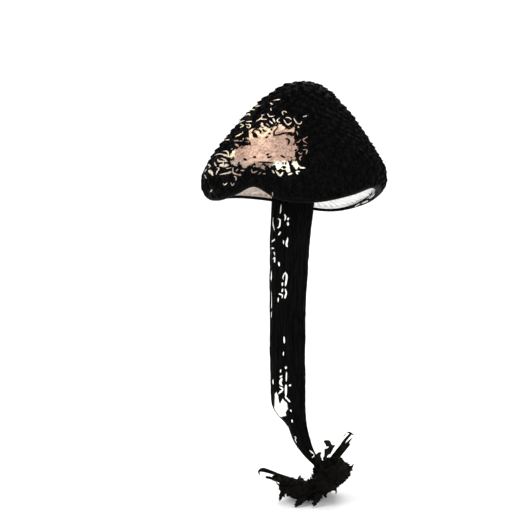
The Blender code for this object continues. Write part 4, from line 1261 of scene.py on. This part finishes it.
# Straws: open end, end in the clod and outer radius, as in the part's source, and where the whole stalk
# starts, in mm from the open end. Then its split end, as strips: each a run of distance from the open
# end, height over the axis, half thickness and half depth, all in mm.
STRAWS = {
    "straw_left": (
        (-10.8, -1, 11.2), (2.4, 0.4, 6.8), 1.45, 4.5,
        (
            (
                5.6, 0.95, 0.5, 0.9, 3.6, 1.08, 0.58, 1, 2, 1.12, 0.64, 1, 0.5, 1.08, 0.72, 0.95,
                -0.45, 0.78, 0.6, 0.8, -0.98, 0.15, 0.36, 0.6, -0.8, -0.42, 0.26, 0.5,
                -0.25, -0.78, 0.12, 0.3,
            ),
            (
                5.8, -0.85, 0.5, 0.9, 4.4, -0.84, 0.45, 1, 3.2, -0.86, 0.46, 0.95, 2.2, -0.98, 0.4, 0.8,
                1.75, -0.98, 0.3, 0.5,
            ),
        ),
    ),
    "straw_right": (
        (19.6, -0.8, 23.2), (12.7, 0.4, 14.3), 1.3, 2.6,
        (
            (
                3.9, 1, 0.45, 0.8, 2.4, 1.02, 0.5, 0.9, 1, 0.96, 0.47, 0.85, 0, 0.9, 0.43, 0.7,
                -0.85, 0.86, 0.4, 0.5,
            ),
            (
                -0.42, 2.1, 0.12, 0.3, -0.72, 1.65, 0.26, 0.5, -0.95, 0.8, 0.3, 0.6, -1.02, 0.3, 0.22, 0.5,
                -1.14, -0.2, 0.08, 0.3,
            ),
            (
                3.7, -0.4, 0.75, 0.9, 2.6, -0.27, 0.5, 0.9, 1.3, -0.3, 0.3, 0.7, 0.4, -0.35, 0.16, 0.45,
                -0.3, -0.38, 0.04, 0.12,
            ),
            (3.3, -0.85, 0.5, 0.7, 2.7, -1.05, 0.3, 0.5, 2.45, -1.26, 0.1, 0.25),
            (
                -0.45, 2.02, 0.04, 0.06, 0.1, 2.12, 0.04, 0.06, 0.38, 2.12, 0.12, 0.14, 1, 2.18, 0.14, 0.16,
                1.65, 2.22, 0.06, 0.08, 2.1, 1.8, 0.04, 0.05, 2.3, 1.3, 0.04, 0.05,
            ),
        ),
    ),
}
STRAW_WALL = 0.6
STRAW_RINGS = 30
STRAW_SIDES = 48
STRIP_SIDES = 12


def make_straw(name, start, end, radius, whole_at, strips, material):
    """A dry hollow stalk, ribbed lengthwise, whose open end is split and frayed."""
    start, end = np.array(start), np.array(end)
    length = float(np.linalg.norm(end - start))
    axis = (end - start) / length
    front = unit(np.cross(axis, [0, 0, 1.0]))
    upward = np.cross(front, axis)
    if upward[2] < 0:
        front, upward = -front, -upward
    angles = circle(STRAW_SIDES)
    ribs = 1 + 0.03 * np.cos(angles * 16)
    ragged = 0.35 * np.sin(angles * 3 + 1) + 0.2 * np.sin(angles * 7)
    shares = np.linspace(0, 1, STRAW_RINGS)
    outside = [(share, radius * ribs) for share in shares]
    inside = [(share, radius - STRAW_WALL) for share in shares[::-1]]
    points = []
    for share, reach in outside + inside:
        at = mix(whole_at + ragged, length, share)
        spots = start + at[:, None] * axis + (reach * np.cos(angles))[:, None] * front
        points += list(spots + (reach * np.sin(angles))[:, None] * upward)
    faces = grid_faces(2 * STRAW_RINGS, STRAW_SIDES, closed_rows=True)
    angles = circle(STRIP_SIDES)
    ridge = 1 + 0.08 * np.cos(angles * 5)
    for strip in strips:
        fine = smooth_line(np.reshape(strip, (-1, 4)), 6)
        count = len(fine) * STRIP_SIDES
        ends = [list(range(STRIP_SIDES)), list(range(count - STRIP_SIDES, count))]
        faces += shifted(grid_faces(len(fine), STRIP_SIDES) + ends, len(points))
        for (at, across, thick, deep), (forward, rise) in zip(fine, unit(np.gradient(fine[:, :2], axis=0))):
            over = upward * forward - axis * rise
            spots = start + axis * at + upward * across + (thick * ridge * np.cos(angles))[:, None] * over
            points += list(spots + (deep * ridge * np.sin(angles))[:, None] * front)
    face_outward(add_piece(name + "_stalk", points, faces, material, (name,)))


# Dead leaves at the root: depth and thickness in mm, then the outline in pixels of the front view.
DEAD_LEAVES = {
    "curled_leaf": (
        -3.2, 0.75,
        (
            324, 462, 322.6, 458.2, 324.1, 456, 324.4, 449.9, 325.2, 448.8, 327.7, 448.2, 328.8, 446.6,
            326.9, 446.8, 326.2, 446.4, 325, 443.6, 323.9, 442.2, 323.9, 440.9, 325, 440.2, 328.6, 440.2,
            330.2, 441.2, 331.2, 443.2, 332.4, 445.1, 335.4, 445.4, 333.4, 448.5, 332.6, 450.4,
            331.4, 452.2, 330.6, 453.9, 328, 455.2, 327, 457.6, 326.6, 462,
        ),
    ),
    "root_leaf": (
        -3, 0.8,
        (
            314.4, 463.4, 315.4, 458, 316.2, 454.4, 317.6, 453, 319, 452.2, 320.8, 452.1, 321.7, 452.9,
            320.9, 454.4, 320.8, 456.6, 321.6, 458.6, 322.6, 463.4,
        ),
    ),
}
OUTLINE_POINTS = 90
LEAF_GRID = 0.8  # pixels between the points that fill a leaf's outline
FILL_MARGIN = 0.4  # pixels that they keep from it
LEAF_CURL = (0.09, 0.25)  # how much a leaf bends about its upright axis and waves


def make_dead_leaf(name, depth, thickness, outline, material):
    """A dry leaf, thicker in its middle and curled about its upright axis."""
    line = resample(pairs((*outline, *outline[:2])), OUTLINE_POINTS)[:-1]
    sides = [np.arange(*span, LEAF_GRID) for span in zip(line.min(0), line.max(0))]
    fill = np.stack(np.meshgrid(*sides), -1).reshape(-1, 2)
    flat = np.vstack([line, fill[inside_depth(fill, (line,)) > FILL_MARGIN]])
    border = [(i, (i + 1) % len(line)) for i in range(len(line))]
    made = delaunay_2d_cdt([Vector(p) for p in flat.tolist()], border, [], 1, 1e-6)
    triangles = [[made[3][i][0] for i in face] for face in made[2]]
    inner = np.maximum(inside_depth(flat, (line,)), 0)
    half = thickness / 2 * (0.3 + 0.7 * ease(inner, 0, 1.6))
    spots = along_sight(flat, -EYE[1] + depth)
    bend = LEAF_CURL[0] * (spots[:, 0] - spots[:, 0].mean()) ** 2
    spots[:, 1] += bend + LEAF_CURL[1] * ripple(spots, 1.5)
    points = np.vstack([spots, spots])
    points[:, 1] += np.concatenate([-half, half])
    count = len(flat)
    faces = triangles + shifted([face[::-1] for face in triangles], count)
    faces += [(a, b, b + count, a + count) for a, b in border]
    face_outward(add_piece(name, points, faces, material))


# Soft lights: name, place, the height that they aim at, power in watts and size. Lengths are in metres.
LIGHTS = (
    ("key", (-0.55, -0.75, 0.75), 0.09, 6.0, 0.7),
    ("fill", (0.8, -0.6, 0.35), 0.08, 2.5, 0.9),
    ("low", (0.2, -0.8, 0.06), 0.1, 3.0, 0.4),
    ("back", (0.2, 0.55, 0.8), 0.1, 3.0, 0.6),
)
# The white sweep, in metres: half its width, where it starts, bends up and ends above, and its bend.
SWEEP_HALF_WIDTH = 2.2
SWEEP_START = -1.6
SWEEP_BEND_AT = 0.7
SWEEP_BEND = 0.4
SWEEP_TOP = 2.2
BEND_STEPS = 12


def make_stage():
    """A white floor that bends up into a backdrop behind the object, and the light."""
    profile = [(SWEEP_START, 0.0)]
    for step in range(BEND_STEPS + 1):
        angle = math.pi / 2 * step / BEND_STEPS
        rise = SWEEP_BEND - SWEEP_BEND * math.cos(angle)
        profile.append((SWEEP_BEND_AT + SWEEP_BEND * math.sin(angle), rise))
    profile.append((SWEEP_BEND_AT + SWEEP_BEND, SWEEP_TOP))
    points = [(x, y, z) for y, z in profile for x in (-SWEEP_HALF_WIDTH, SWEEP_HALF_WIDTH)]
    faces = [(2 * i, 2 * i + 1, 2 * i + 3, 2 * i + 2) for i in range(len(profile) - 1)]
    mesh = bpy.data.meshes.new("sweep")
    mesh.from_pydata(points, [], faces)
    mesh.shade_smooth()
    sweep = show("sweep", mesh)
    paint = Paint("sweep_white", 0.9, 0.1)
    whites = ((0.93, 0.93, 0.93), (0.95, 0.95, 0.95))
    mesh.materials.append(paint.finish(paint.blend(paint.noise(3.0, 2.0), *whites)))

    world = bpy.data.worlds.new("studio")
    world.use_nodes = True
    world.node_tree.nodes["Background"].inputs[0].default_value = (1, 1, 1, 1)
    world.node_tree.nodes["Background"].inputs[1].default_value = 1.0
    bpy.context.scene.world = world
    bpy.context.scene.view_settings.view_transform = "Standard"
    for name, place, aim_height, power, size in LIGHTS:
        data = bpy.data.lights.new(name, "AREA")
        data.shape = "DISK"
        data.energy = power
        data.size = size
        light = show(name, data)
        light.location = place
        aim = Vector((0, 0, aim_height)) - Vector(place)
        light.rotation_euler = aim.to_track_quat("-Z", "Y").to_euler()


def make_camera():
    data = bpy.data.cameras.new("front")
    data.sensor_width = data.sensor_height = SENSOR
    data.sensor_fit = "HORIZONTAL"
    data.lens = FOCAL_PIXELS * SENSOR / PICTURE
    data.shift_x = (PICTURE / 2 - EYE_COLUMN) / PICTURE
    data.shift_y = (EYE_ROW - PICTURE / 2) / PICTURE
    data.clip_start = 0.01
    camera = show("front", data)
    camera.location = [value * MM for value in EYE]
    camera.rotation_euler = (math.pi / 2, 0, 0)
    bpy.context.scene.camera = camera


def main():
    make_camera()
    make_stage()
    shag = shag_material()
    gill = gill_material()
    hair = grain_material(
        "stem_black_fibre", 0.6, 0.02, 1900.0, (1.0, 1.0, 0.08), (0.4, 0.0001), (0.4, 0.7), BLACK, SOOT
    )
    # Pale fibres: painted highlights down the stem, and the pale fibres inside the lip.
    pale = grain_material(
        "pale_fibre", 0.75, 0.2, 2400.0, (1.0, 1.0, 0.15), (0.4, 0.0001), (0.35, 0.6), (0.78, 0.77, 0.74),
        (0.95, 0.95, 0.94),
    )
    straw = grain_material(
        "straw_dark", 0.65, 0.02, 1600.0, (0.35, 1.0, 0.5), (0.5, 0.00012), (0.4, 0.72), DRY_DARK, DRY_LIGHT
    )
    earth_stops = ((0.35, (0.0010, 0.0009, 0.0007)), (0.6, (0.0035, 0.0028, 0.0020)), (0.8, DRY_LIGHT))
    earth = clump_material(
        "earth_black", 0.9, (500.0, 5.0, 0.65), earth_stops, (2200.0, 5.0, 0.7), (0.8, 0.0003)
    )
    moss_stops = ((0.35, (0.0012, 0.0013, 0.0008)), (0.7, (0.0058, 0.0058, 0.0030)))
    moss = clump_material("moss_black", 0.8, (420.0,), moss_stops, (2600.0,), (0.5, 0.00015))

    make_cap_shell(cap_material(), gill)
    make_cap_shag(shag, stroke_lines(PALE_HIGHLIGHT_CURLS).reshape(-1, 2))
    # Pale curls of the worn place, part of the painted highlight on the cap's lit front left.
    make_cap_strokes("cap_worn_highlight_curls", PALE_HIGHLIGHT_CURLS, worn_highlight_fibre_material(), 0.10, 0.88)
    make_cap_strokes("cap_dark_curls", DARK_CURLS + edge_curls(), shag, 0.2, 1.35)
    make_gills(gill)
    make_stem(stem_material())
    # Pale strokes on the stem, painted highlights.
    make_stem_highlight_strokes(pale)
    make_lip_strokes("lip_pale_fibres", LIP_CURLS, LIP_FACE, pale)
    make_lip_strokes("lip_dark_fibres", LIP_DARK_CURLS, GILL_FACE, shag)
    make_stem_hairs(hair)
    make_root_strands(hair)
    spots, normals = make_clod(earth)
    make_moss(moss, spots, normals)
    make_crumbs(earth, spots, normals)
    for name, values in DEAD_LEAVES.items():
        make_dead_leaf(name, *values, moss)
    for name, values in STRAWS.items():
        make_straw(name, *values, straw)


main()
